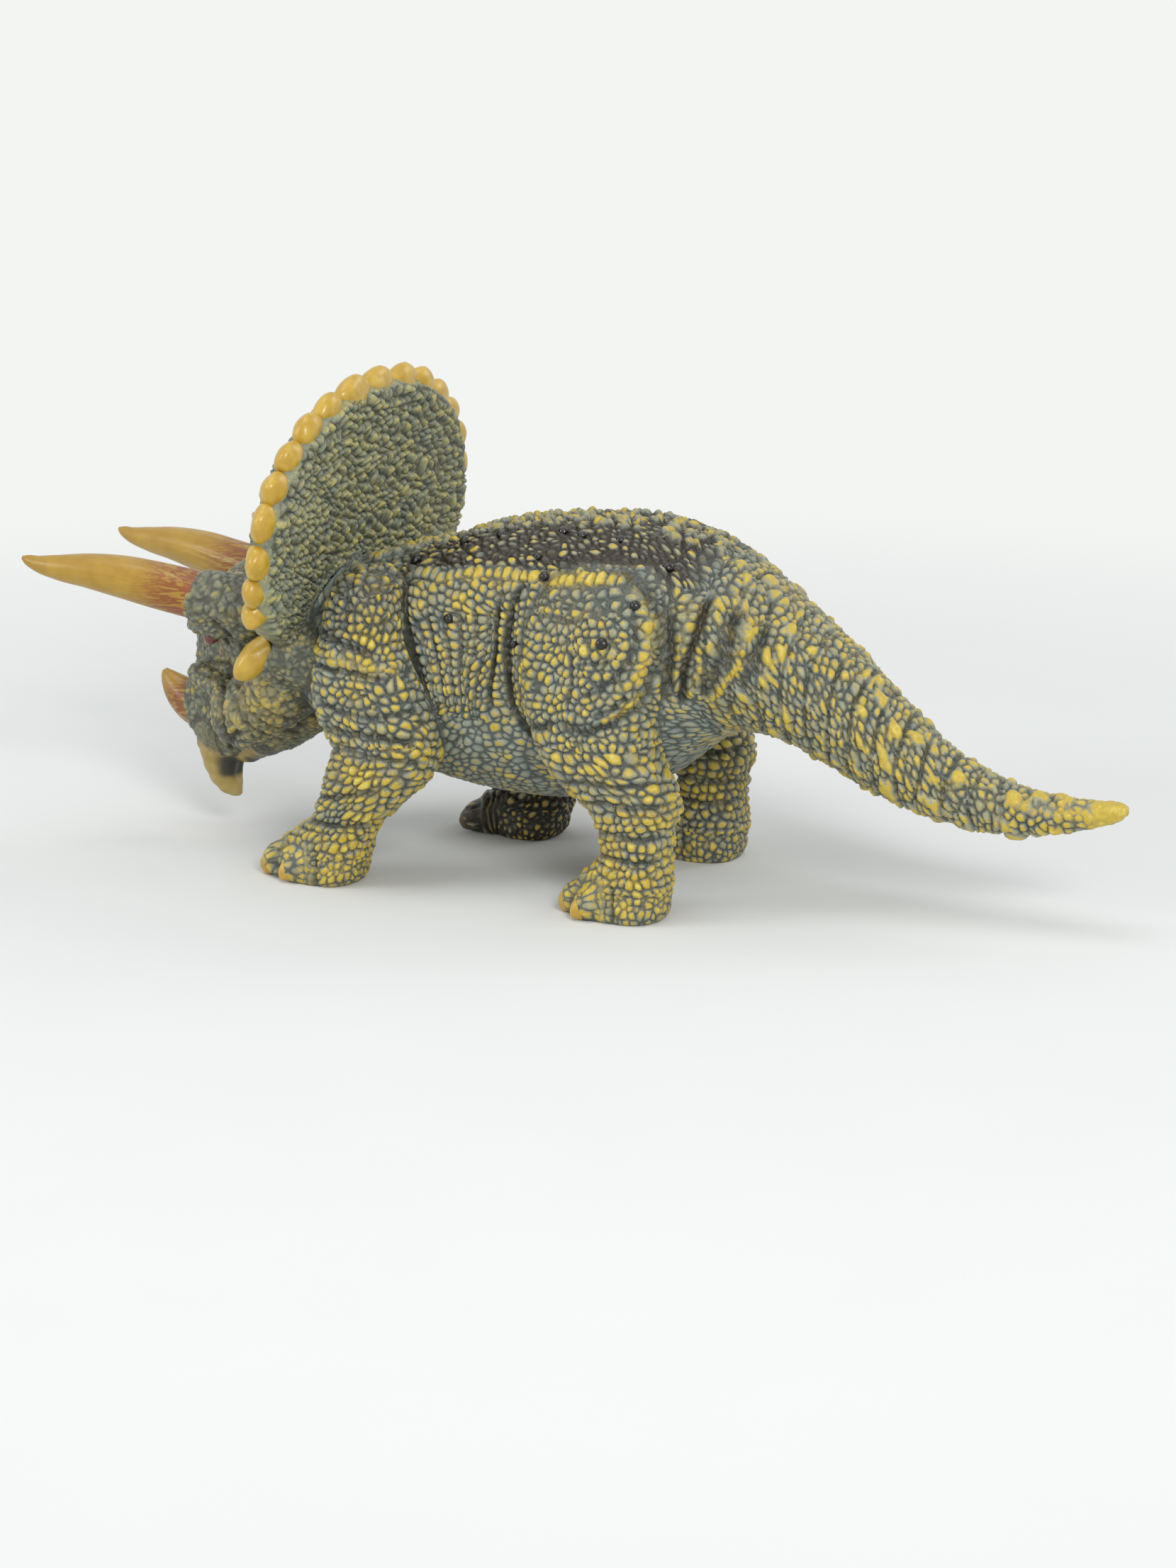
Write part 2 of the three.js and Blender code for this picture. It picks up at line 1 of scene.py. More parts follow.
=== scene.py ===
"""A moulded and painted vinyl dinosaur with three horns and a neck frill, walking head down.

The skin is sculpted as one field in millimetres, turned into a fine mesh, given its scales and
folds, and then cut into the pieces of the frame. Horns, studs, nails and eyes are pieces of
their own. The snout points along -X, the left side is -Y, and the soles stand on Z = 0.
"""
import bpy
import itertools
import math
import numpy as np
import openvdb
from functools import partial
from mathutils import Matrix, Vector

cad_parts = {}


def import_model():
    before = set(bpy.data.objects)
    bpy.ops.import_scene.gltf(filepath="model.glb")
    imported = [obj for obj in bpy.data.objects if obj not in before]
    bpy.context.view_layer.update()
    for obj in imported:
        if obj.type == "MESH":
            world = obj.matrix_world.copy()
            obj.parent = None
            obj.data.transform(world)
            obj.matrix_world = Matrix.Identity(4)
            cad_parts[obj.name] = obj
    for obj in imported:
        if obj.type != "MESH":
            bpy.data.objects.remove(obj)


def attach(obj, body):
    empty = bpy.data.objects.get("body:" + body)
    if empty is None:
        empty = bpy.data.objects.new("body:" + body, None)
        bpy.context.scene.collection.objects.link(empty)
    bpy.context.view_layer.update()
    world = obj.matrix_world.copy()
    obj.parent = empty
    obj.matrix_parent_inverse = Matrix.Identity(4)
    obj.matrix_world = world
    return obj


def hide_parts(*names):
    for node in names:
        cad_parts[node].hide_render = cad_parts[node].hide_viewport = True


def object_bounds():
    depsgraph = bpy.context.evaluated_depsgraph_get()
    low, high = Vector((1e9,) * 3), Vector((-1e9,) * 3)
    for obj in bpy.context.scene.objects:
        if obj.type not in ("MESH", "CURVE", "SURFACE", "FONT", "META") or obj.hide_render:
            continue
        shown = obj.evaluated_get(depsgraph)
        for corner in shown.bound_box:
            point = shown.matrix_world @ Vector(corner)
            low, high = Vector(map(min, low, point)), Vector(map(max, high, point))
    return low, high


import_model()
cad_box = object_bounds()

# The sculpt is drawn in mm at this length and place, and follows the size of the frame
DRAWN_LENGTH = 150.54
DRAWN_START = -75.24
LOW, HIGH = (np.array(corner, float) for corner in cad_box)
MM = (HIGH[0] - LOW[0]) / DRAWN_LENGTH
ORIGIN = np.array([LOW[0] - DRAWN_START * MM, (LOW[1] + HIGH[1]) / 2, LOW[2]])

GRID = 0.37  # cell of the field
REACH = 3.0  # the field is cut off this far from the skin
FINE = 600  # readings taken along each table
FAR = 9.0  # farther than any distance that is compared
SIDES = (-1, 1)


# Helpers for numbers

def chance(seed, *places):
    """A number from 0 to 1 for each whole-number place, always the same for the same seed."""
    mixed = np.full(np.shape(places[0]), (seed * 747796405 + 12345) % 2**32, np.uint32)
    with np.errstate(over="ignore"):
        for place in places:
            mixed ^= place.astype(np.int64).astype(np.uint32) * np.uint32(0x9E3779B1)
            mixed = (mixed ^ (mixed >> np.uint32(15))) * np.uint32(0x85EBCA6B)
            mixed ^= mixed >> np.uint32(13)
            mixed *= np.uint32(0xC2B2AE35)
            mixed ^= mixed >> np.uint32(16)
    return mixed / 2.0**32


def ease(low, high, value):
    """0 below low, 1 above high and a smooth climb between them."""
    share = np.clip((value - low) / (high - low), 0, 1)
    return share * share * (3 - 2 * share)


def fall(low, high, value):
    """1 below low, 0 above high and a smooth drop between them."""
    return 1 - ease(low, high, value)


def band(a, b, c, d, value):
    """Climbs from 0 to 1 between a and b, and drops back to 0 between c and d."""
    return ease(a, b, value) * fall(c, d, value)


def peak(off, width):
    """1 where off is 0, and near 0 where it is twice the width."""
    return np.exp(-((off / width) ** 2))


def dome(off, radius):
    """A half circle's height, 1 where off is 0 and 0 from the radius on."""
    return np.sqrt(np.clip(1 - (off / radius) ** 2, 0, 1))


def mix(a, b, share):
    return a + (b - a) * share


def closest(candidates):
    """Picks the closest of several things for each place.

    Each candidate is its distance and some numbers. Gives how much farther the second one is,
    the distance of the closest one, and its numbers.
    """
    best = second = FAR
    numbers = [FAR] * 2
    for near, *own in candidates:
        closer = near < best
        second = np.where(closer, best, np.minimum(second, near))
        numbers = [np.where(closer, new, old) for new, old in zip(own, numbers)]
        best = np.minimum(best, near)
    return second - best, best, *numbers


def drift(x, y, z, size, seed):
    """Smooth noise from -1 to 1 whose lumps are about one size across."""
    spots = [np.asarray(value) / size for value in (x, y, z)]
    whole = [np.floor(spot) for spot in spots]
    shares = [ease(0, 1, spot - low) for spot, low in zip(spots, whole)]
    total = 0
    for corner in itertools.product((0, 1), repeat=3):
        a, b, c = (share if step else 1 - share for share, step in zip(shares, corner))
        total = total + a * b * c * chance(seed, *(low + step for low, step in zip(whole, corner)))
    return 2 * total - 1


def along(rows):
    """A smooth curve through a table's rows. It is read at any value of the first column."""
    rows = np.array(rows, float)
    at = rows[:, 0]
    slopes = np.gradient(rows, at, axis=0)
    fine = np.linspace(at[0], at[-1], FINE)
    i = np.clip(np.searchsorted(at, fine, "right") - 1, 0, len(at) - 2)
    span = (at[i + 1] - at[i])[:, None]
    t = (fine - at[i])[:, None] / span
    a, b, slope_a, slope_b = rows[i], rows[i + 1], slopes[i] * span, slopes[i + 1] * span
    bend = slope_a + slope_b - 2 * (b - a)
    values = a + t * (slope_a + t * (b - a - slope_a - bend + t * bend))
    return lambda place: [np.interp(place, fine, column) for column in values.T[1:]]


# Forms, as distances in mm

def section(across, up, half_across, half_up, power):
    """Distance to an oval or squarish outline round the origin."""
    ratio = (np.abs(across / half_across) ** power + np.abs(up / half_up) ** power) ** (1 / power)
    return np.hypot(across, up) * (1 - 1 / np.maximum(ratio, 1e-3))


def rod(p, start, end, radius_start, radius_end):
    """Distance to a rod with round ends and a radius that changes along it."""
    start, end = np.array(start, float), np.array(end, float)
    axis = end - start
    off = [value - origin for value, origin in zip(p, start)]
    t = np.clip(sum(o * a for o, a in zip(off, axis)) / (axis @ axis), 0, 1)
    gap = sum((o - t * a) ** 2 for o, a in zip(off, axis))
    return np.sqrt(gap) - mix(radius_start, radius_end, t)


def chain(p, knots, widen=1.0):
    """Distance to a chain of rods through knots of (x, y, z, radius), widened along Y."""
    p = (p[0], p[1] / widen, p[2])
    links = [rod(p, a[:3], b[:3], a[3], b[3]) for a, b in zip(knots, knots[1:])]
    return np.minimum.reduce(links)


def egg(p, middle, radii):
    """Distance to an egg-shaped lump."""
    off = [(value - m) / r for value, m, r in zip(p, middle, radii)]
    near = np.sqrt(sum(o * o for o in off))
    steep = np.sqrt(sum((o / r) ** 2 for o, r in zip(off, radii)))
    return near * (near - 1) / np.maximum(steep, 1e-6)


def weld(a, b, fillet):
    """Two distances as one, with a fillet where the forms meet."""
    if fillet <= 0:
        return np.minimum(a, b)
    return np.minimum(a, b) - np.maximum(fillet - np.abs(a - b), 0) ** 2 / (4 * fillet)


# Trunk and tail: place, top, bottom, half width, squareness above and below the middle
SPINE = along([
    (-37.5, 35.2, 20.5, 8.6, 2.3, 2.2), (-32.5, 37.6, 18.2, 12.2, 2.3, 2.2),
    (-27.5, 39.6, 16, 13.6, 2.5, 2.2), (-22, 41.2, 13.9, 14.6, 2.7, 2.3),
    (-16, 42.8, 12.4, 15.4, 2.9, 2.3), (-9.9, 44.9, 11.4, 16.1, 3, 2.3),
    (-3, 46.4, 11, 16.5, 3, 2.3), (4, 46.9, 11.4, 16.6, 3, 2.3),
    (10, 47.1, 12.7, 16.4, 2.9, 2.3), (14.5, 46.6, 14.9, 15.9, 2.8, 2.3),
    (19, 45.3, 18.4, 14.8, 2.5, 2.2), (24, 43.3, 22, 12.9, 2.2, 2.1),
    (29.7, 39.6, 21.9, 10.6, 2, 2.1), (35, 35.9, 20, 8.8, 1.9, 2.1),
    (40.3, 31.6, 17.2, 7.4, 1.85, 2.1), (45.7, 26.7, 14.8, 6.1, 1.85, 2.1),
    (51, 22.3, 13.3, 4.8, 1.9, 2.1), (56.3, 19.5, 12.4, 3.7, 1.9, 2),
    (61.3, 17.8, 12.2, 3, 2, 2), (66.5, 17, 13, 2.35, 2, 2),
    (71.5, 17.3, 14.1, 1.8, 2, 2), (73.8, 17.4, 15, 1.45, 2, 2), (75.2, 17, 16.1, 0.6, 2, 2),
])
NECK_START = -37.5
TAIL_TIP = 75.2
TAIL_ROOT = 24.0  # where the tail piece begins


def spine(p):
    x, y, z = p
    top, bottom, side, above, below = SPINE(x)
    middle = (top + bottom) / 2
    near = section(y, z - middle, side, (top - bottom) / 2, np.where(z > middle, above, below))
    return np.maximum(near, np.maximum(NECK_START - x, x - TAIL_TIP))


# Legs on the left: height, front, rear, middle out from the centre line, half width
FRONT_LEG = along([
    (0, -30.6, -22.8, 16.5, 4.4), (1.5, -30.8, -22, 16.6, 4.7), (3.5, -30.3, -21.6, 16.6, 4.6),
    (5.2, -29.3, -21.3, 16.7, 4.3), (7.2, -28.3, -20.6, 16.8, 4.1), (8.7, -27.8, -19.6, 16.8, 4.1),
    (10.8, -27.1, -17.2, 16.9, 4.3), (12.4, -26.4, -15.5, 16.9, 4.5), (15.1, -25.7, -12.7, 16.9, 4.9),
    (16.8, -25.1, -11.7, 16.7, 5), (18.2, -24.9, -11.5, 16.5, 5.2), (19.7, -25.8, -11.5, 16.2, 5.3),
    (22.8, -27.8, -12.1, 15.7, 5.8), (26.5, -28.3, -13.4, 15.1, 5.9), (30, -27.8, -15.4, 14.8, 5.8),
    (33.8, -27, -17, 14.4, 5.5), (37, -26.6, -17.7, 13.9, 5), (38.8, -26.1, -18.1, 13.5, 4.4),
    (39.9, -25.2, -18.8, 13.2, 3.6), (40.5, -24, -19.6, 13, 2.3),
])
HIND_LEG = along([
    (0, 10.9, 20.2, 16.2, 4.7), (1.5, 10.6, 20.6, 16.3, 4.9), (3, 10.8, 20.7, 16.3, 4.9),
    (5, 11.6, 20.7, 16.3, 4.7), (6.7, 12.3, 20.6, 16.2, 4.5), (9.5, 12.7, 20.6, 16.1, 4.5),
    (12.1, 12.2, 20.8, 16.1, 4.8), (14.2, 11, 21.6, 16.1, 5.3), (15.8, 8.8, 21.4, 16.1, 5.5),
    (18, 6.3, 20, 15.9, 5.9), (20.5, 4.4, 18.5, 15.7, 6.2), (24.4, 2.4, 18.1, 15.1, 6.4),
    (28, 1.2, 18.7, 14.7, 6.3), (33.5, 0.9, 19.4, 13.9, 6.2), (38.5, 1.9, 19.2, 13, 5.5),
    (42, 4, 18.2, 12.1, 3.9), (43.6, 6.8, 16.2, 11.5, 2.6),
])
# Toes: place of the tip (x, out, height) and its radius; each runs back to the ankle
FRONT_TOES = (((-29.9, 19.7, 1.9), 2.0), ((-33.2, 17.7, 2.3), 2.4), ((-33.5, 14.1, 2.2), 2.2))
HIND_TOES = (((11.7, 19.8, 1.9), 2.0), ((9.4, 17.4, 2.1), 2.3), ((9.5, 13.6, 2.1), 2.1))
FRONT_ANKLE = (-26.6, 16.7, 4.2)
HIND_ANKLE = (15.0, 16.3, 4.2)
TOE_ROOT = 4.0  # radius of a toe where it leaves the ankle
TOE_FILLET = 0.7
KNEE = (0.36, 0.66)  # shares of the leg's height between which its stride fades out
LEG_POWER = 2.5
# Each leg: outline, height, stride along X, side, toes, ankle
LEGS = {
    "front_leg_left": (FRONT_LEG, 40.7, 0.0, -1, FRONT_TOES, FRONT_ANKLE),
    "front_leg_right": (FRONT_LEG, 40.7, 13.2, 1, FRONT_TOES, FRONT_ANKLE),
    "hind_leg_left": (HIND_LEG, 43.6, 0.0, -1, HIND_TOES, HIND_ANKLE),
    "hind_leg_right": (HIND_LEG, 43.6, -3.2, 1, HIND_TOES, HIND_ANKLE),
}


def unstride(name, p):
    """A point moved back by the leg's stride, and mirrored onto the left side."""
    rows, height, stride, side = LEGS[name][:4]
    x, y, z = p
    return x - stride * (1 - ease(KNEE[0], KNEE[1], z / height)), -side * y, z


def leg(name, p):
    rows, height, stride, side, toes, ankle = LEGS[name]
    x, y, z = unstride(name, p)
    front, rear, out, half = rows(np.clip(z, 0, height))
    near = section(x - (front + rear) / 2, y + out, (rear - front) / 2, half, LEG_POWER)
    near = np.maximum(near, z - height)
    for (tx, ty, tz), radius in toes:
        toe = rod((x, y, z), (ankle[0], -ankle[1], ankle[2]), (tx, -ty, tz), TOE_ROOT, radius)
        near = weld(near, toe, TOE_FILLET)
    return near


# Head: height, face, back, half width
HEAD = along([
    (11, -54.2, -48, 3.6), (12.2, -54.9, -46.2, 4.5), (14.1, -55.9, -43.4, 5.6),
    (17.1, -56, -39, 7.3), (20.6, -54.8, -34.6, 8.9), (24.1, -53.9, -32.6, 9.9),
    (27.6, -54.1, -31.6, 10.6), (31.1, -53.2, -31.2, 11), (34.1, -51.2, -31, 10.7),
    (36.6, -49.2, -31, 9.2), (38.6, -45.8, -31.4, 5.8),
])
HEAD_TAPER = 0.26  # how much narrower it gets toward the face
HEAD_POWER = 2.25
HEAD_TOP, HEAD_FOOT = 38.8, 11.2
JAW = ((-37.6, 0, 19.6, 4.0), (-40.2, 0, 17.6, 3.8), (-42.4, 0, 15.7, 3.3), (-44.6, 0, 14.0, 2.7))
JAW_TIP = ((-44.4, 0, 14.2, 2.7), (-46.4, 0, 12.9, 2.3), (-47.6, 0, 11.7, 1.8), (-48.4, 0, 10.7, 0.9))
BEAK = (
    (-51.6, 0, 14.2, 3.9), (-51.8, 0, 11.6, 3.25), (-51.8, 0, 9.8, 2.8), (-51.5, 0, 8.2, 2.35),
    (-50.9, 0, 6.9, 1.8), (-50.2, 0, 6, 1.15), (-49.5, 0, 5.5, 0.55),
)
BEAK_HOLLOW = ((-47.4, 0, 10.6, 1.9), (-48.5, 0, 8.0, 1.3), (-48.6, 0, 6.9, 0.5))
JAW_WIDEN = 1.5
# Forms of the face on the left side, each with its fillet: a rod has its ends and radii,
# and an egg its middle and radii
FACE_FORMS = (
    (rod, ((-44.8, -6.6, 18.0), (-38.8, -7.6, 22.4), 4.3, 4.9), 2.0),  # cheek
    (rod, ((-32.5, -9.3, 28.2), (-37.6, -12.2, 27.4), 5.0, 2.6), 2.4),  # foot of the cheek stud
    (rod, ((-43.5, -7.2, 32.6), (-48.7, -8.6, 33.6), 4.4, 3.7), 1.5),  # foot of the brow horn
    (rod, ((-53.0, -4.6, 29.4), (-48.0, -8.6, 30.2), 1.2, 1.7), 1.2),  # above the eye
    (rod, ((-52.6, -4.4, 22.5), (-46.5, -8.0, 21.0), 1.6, 1.3), 1.6),  # below the eye
    (egg, ((-54.4, 0, 17.6), (3.0, 3.2, 4.3)), 1.4),  # foot of the nose horn
    (rod, ((-54.1, 0, 21), (-52.4, 0, 29), 1.6, 2.4), 1.6),  # bridge of the nose
)
FACE_HOLES = (
    (egg, ((-48.8, -9.4, 26.2), (1.6, 1.1, 1.1)), 0.8),  # eye
    (egg, ((-37.6, -15.4, 30.4), (2.0, 2.6, 1.2)), 1.2),  # ear
    (egg, ((-54.6, -4.2, 15.2), (1.1, 1.3, 0.8)), 0.5),  # nostril
)


def skull(p):
    x, y, z = p
    face, back, half = HEAD(np.clip(z, HEAD_FOOT, HEAD_TOP))
    half_length = (back - face) / 2
    rearward = np.clip((x - (face + back) / 2) / half_length, -1.2, 1.2)
    narrow = 1 - HEAD_TAPER * (1 - rearward)
    near = section(x - (face + back) / 2, y / narrow, half_length, half, HEAD_POWER)
    return np.maximum(near, np.maximum(z - HEAD_TOP, HEAD_FOOT - z))


def head(p):
    near = skull(p)
    left = (p[0], -np.abs(p[1]), p[2])
    for form, shape, fillet in FACE_FORMS:
        near = weld(near, form(left, *shape), fillet)
    for form, shape, fillet in FACE_HOLES:
        near = -weld(-near, form(left, *shape), fillet)
    return near


def beak(p):
    return -weld(-chain(p, BEAK), chain(p, BEAK_HOLLOW), 0.4)


# Frill: a dished plate that leans back, drawn in its own plane
FRILL_PLACE = (-30.4, 0, 43.4)
FRILL_LEAN = math.radians(8)
FRILL_HALF = 27.6
FRILL_RISE, FRILL_DROP = 19.6, 15.4
FRILL_SWEEP = 3.8  # how far its lowest part turns forward
FRILL_POWERS = (2.2, 2.3)  # squareness of the outline above and below its middle
FRILL_DISH = 2.2  # how far its middle lies ahead of its rim
FRILL_THICK = 1.55  # half its thickness


def frill_plane(x, y, z):
    """Place in the frill's plane: behind it, across it and up it."""
    dx, dz = x - FRILL_PLACE[0], z - FRILL_PLACE[2]
    turn, lift = math.cos(FRILL_LEAN), math.sin(FRILL_LEAN)
    return dx * turn - dz * lift, y, dx * lift + dz * turn


def frill_to_space(behind, across, up):
    turn, lift = math.cos(FRILL_LEAN), math.sin(FRILL_LEAN)
    x = FRILL_PLACE[0] + behind * turn + up * lift
    return np.array([x, across, FRILL_PLACE[2] - behind * lift + up * turn])


def frill_rim(across, up):
    """How far out on the frill a place is, 1 at the rim."""
    tall = np.where(up > 0, FRILL_RISE, FRILL_DROP)
    power = np.where(up > 0, *FRILL_POWERS)
    return (np.abs(across / FRILL_HALF) ** power + np.abs(up / tall) ** power) ** (1 / power)


def frill_middle(rim, up):
    """How far behind its plane the middle of the plate lies."""
    return -FRILL_DISH * (1 - rim**2) - FRILL_SWEEP * (np.minimum(up, 0) / FRILL_DROP) ** 2


def frill(p):
    behind, across, up = frill_plane(*p)
    rim = np.maximum(frill_rim(across, up), 1e-3)
    edge = np.hypot(across, up) * (1 - 1 / rim)
    face = np.abs(behind - frill_middle(np.clip(rim, 0, 1), up)) - FRILL_THICK
    over_edge, over_face = (np.maximum(value + FRILL_THICK, 0) for value in (edge, face))
    corner = (over_edge > 0) & (over_face > 0)
    return np.where(corner, np.hypot(over_edge, over_face) - FRILL_THICK, np.maximum(edge, face))


# Every form of the skin: label, low corner, high corner, distance, fillet to what is there
LABELS = ["trunk", "tail", "head", "lower_jaw", "frill", *LEGS, "beak", "jaw_tip"]
jaw = partial(chain, knots=JAW, widen=JAW_WIDEN)
jaw_tip = partial(chain, knots=JAW_TIP, widen=JAW_WIDEN)
FORMS = [
    ("trunk", (-38, -17, 10.5), (76, 17, 48), spine, 0),
    ("frill", (-38, -29, 27), (-24, 29, 64.5), frill, 2.6),
    ("head", (-60, -17.5, 8), (-30, 17.5, 40), head, 2.0),
    ("beak", (-57, -5, 4), (-46, 5, 19), beak, 0.8),
    ("lower_jaw", (-49, -7, 9), (-33, 7, 24), jaw, 0.9),
    ("jaw_tip", (-50, -5, 8), (-41, 5, 18), jaw_tip, 0.4),
]
# The first and last place along X of each leg
LEG_SPANS = {
    "front_leg_left": (-37, -8), "front_leg_right": (-31, 4),
    "hind_leg_left": (-1, 23.5), "hind_leg_right": (-1, 22),
}
LEG_FILLET = 1.4
for name, (first, last) in LEG_SPANS.items():
    near_y, far_y = (-23.5, -6) if LEGS[name][3] < 0 else (6, 23.5)
    FORMS.append((name, (first, near_y, 0), (last, far_y, 45), partial(leg, name), LEG_FILLET))

SOLE_ROUNDING = 0.12  # where the soles meet the ground
GRID_LOW = np.array([-62.0, -31, -2])
GRID_HIGH = np.array([78.0, 31, 66])


def sculpt():
    """The whole skin as quads: corner points in mm and faces."""
    count = np.ceil((GRID_HIGH - GRID_LOW) / GRID).astype(int) + 1
    axes = [GRID_LOW[i] + GRID * np.arange(count[i]) for i in range(3)]
    field = np.full(count, REACH, np.float32)
    for label, low, high, form, fillet in FORMS:
        spans = [slice(*np.searchsorted(axes[i], (low[i] - REACH, high[i] + REACH))) for i in range(3)]
        p = np.meshgrid(*[axes[i][spans[i]] for i in range(3)], indexing="ij", sparse=True)
        near = np.clip(form(p), -REACH, REACH)
        field[tuple(spans)] = weld(field[tuple(spans)], near, fillet)
    above_ground = axes[2][None, None, :]
    field = -weld(-field, above_ground, SOLE_ROUNDING)
    volume = openvdb.FloatGrid(background=REACH)
    volume.copyFromArray(np.ascontiguousarray(field, np.float32))
    points, quads = volume.convertToQuads(isovalue=0.0)
    return GRID_LOW + GRID * np.asarray(points, float), np.asarray(quads, int)


# Mesh of the skin

def mesh_object(name, points, faces):
    """An object from corner points in drawn millimetres."""
    data = bpy.data.meshes.new(name)
    data.from_pydata((np.asarray(points) * MM + ORIGIN).tolist(), [], [tuple(f) for f in faces])
    data.validate()
    made = bpy.data.objects.new(name, data)
    bpy.context.scene.collection.objects.link(made)
    return made


def read(data, field, width=3, source="vertices"):
    rows = getattr(data, source)
    values = np.empty(len(rows) * width, np.float32 if width == 3 else np.int32)
    rows.foreach_get(field, values)
    return values.reshape(-1, width)


def place_of(data):
    return (read(data, "co").astype(float) - ORIGIN) / MM


def normals_of(data):
    return read(data, "normal").astype(float)


def faces_of(data):
    return read(data, "vertex_index", 1, "loops").reshape(-1, 4)


def finer(points, quads):
    """The same skin with four faces for each one, smoothed."""
    rough = mesh_object("rough_skin", points, quads)
    rough.modifiers.new("finer", "SUBSURF").levels = 1
    graph = bpy.context.evaluated_depsgraph_get()
    data = bpy.data.meshes.new_from_object(rough.evaluated_get(graph))
    bpy.data.objects.remove(rough)
    return data


# Scales and folds

def cells(u, v, wide, tall, seed, loose, around=None, vary=0.3):
    """A pattern of scales in rows across u, each row with its own slide along v.

    Gives how far inside a scale a place is, how far from its middle, a number of its own from
    0 to 1, and how far along v from its middle. around closes the rows into rings.
    """
    a, b = u / wide, v / tall

    def scales_near():
        for di in (-1, 0, 1):
            i = np.floor(a) + di
            shift = chance(seed, i)
            start = np.floor(b - shift)
            for dj in (-1, 0, 1):
                j = start + dj
                name = i, (np.mod(j, around) if around else j)
                off_u = a - i - 0.5 - loose * (chance(seed + 1, *name) - 0.5)
                off_v = b - j - 0.5 - shift - loose * (chance(seed + 2, *name) - 0.5)
                near = np.hypot(off_u, off_v) - vary * (chance(seed + 3, *name) - 0.5)
                yield near, chance(seed + 4, *name), off_v

    return closest(scales_near())


def lumps(p, size, seed, loose=0.9):
    """A pattern of pebbles in space: how far inside one, how far from its middle, its number."""
    spots = [value / size for value in p]
    start = [np.floor(spot) for spot in spots]

    def pebbles_near():
        for steps in itertools.product((-1, 0, 1), repeat=3):
            cell = [low + step for low, step in zip(start, steps)]
            gap = sum(
                (spot - c - 0.5 - loose * (chance(seed + n, *cell) - 0.5)) ** 2
                for n, (spot, c) in enumerate(zip(spots, cell))
            )
            yield np.sqrt(gap), chance(seed + 3, *cell)

    return closest(pebbles_near())


def bead(edge, middle, own, gap=0.17, vary=0.4):
    """Height of a round scale, 0 in the cracks round it and about 1 on top."""
    middle = np.clip(middle, 0, None)
    near = middle / np.maximum(middle + edge, 1e-6) / (1 - gap)
    return np.clip(1 - near**2, 0, 1) ** 0.6 * mix(1.15 - vary, 1.15, own)


def row_of(shape, u, v, vary=0.4, **more):
    """Heights of a pattern of scales from the table of SCALES."""
    return bead(*cells(u, v, *SCALES[shape], **more)[:3], vary=vary)


def stroke(x, z, knots, width):
    """How strongly a place lies on a line drawn on the side, 1 on it and 0 well off it."""
    knots = np.array(knots, float)
    lengths = np.hypot(*np.diff(knots, axis=0).T)
    before = np.cumsum(lengths) - lengths

    def pieces():
        for (ax, az), (bx, bz), length, gone in zip(knots, knots[1:], lengths, before):
            t = np.clip(((x - ax) * (bx - ax) + (z - az) * (bz - az)) / length**2, 0, 1)
            yield np.hypot(x - mix(ax, bx, t), z - mix(az, bz, t)), (gone + t * length) / lengths.sum()

    off, share = closest(pieces())[1:]
    return peak(off, width) * np.clip(2 * np.sqrt(np.clip(4 * share * (1 - share), 0, 1)), 0, 1)


# Patterns of scales: size across their rows and along them, seed, looseness
SCALES = {
    "tail": (1.15, 1.25, 11, 0.75), "knobs": (2.9, 2.7, 17, 0.9),
    "back": (1.4, 0.95, 21, 0.9), "crest": (2.3, 2.2, 25, 0.8),
    "flank": (1.2, 1.15, 31, 0.6), "shelf": (1.5, 1.35, 41, 0.4),
    "belly": (1.35, 1.0, 51, 0.9), "neck": (1.3, 2.0, 61, 0.9),
    "thigh": (1.2, 1.0, 71, 0.75), "shin": (1.2, 1.0, 81, 0.55), "foot": (0.95, 1.0, 91, 0.9),
    "frill": (1.05, 1.35, 121, 0.95), "frill_foot": (1.7, 2.2, 131, 1.0),
}
# Height of the scales in mm, and how much gold their tops get, by region
REGIONS = {
    "flank": (0.6, 0.55), "back": (0.52, 0.32), "belly": (0.2, 0.32),
    "tail": (0.58, 0.58), "neck": (0.3, 0.3),
    "front_thigh": (0.62, 0.52), "hind_thigh": (0.62, 0.55), "shin": (0.64, 0.62), "foot": (0.26, 0.62),
    "face": (0.3, 0.5), "crown": (0.42, 0.48), "cheek": (0.42, 0.72),
    "frill": (1.05, 0.66), "frill_foot": (0.55, 0.5), "frill_border": (0.2, 0.62),
}


def toward(values, *regions):
    """Height and gold, drawn in turn toward those of each (region, share)."""
    for region, share in regions:
        values = [mix(value, goal, share) for value, goal in zip(values, REGIONS[region])]
    return values


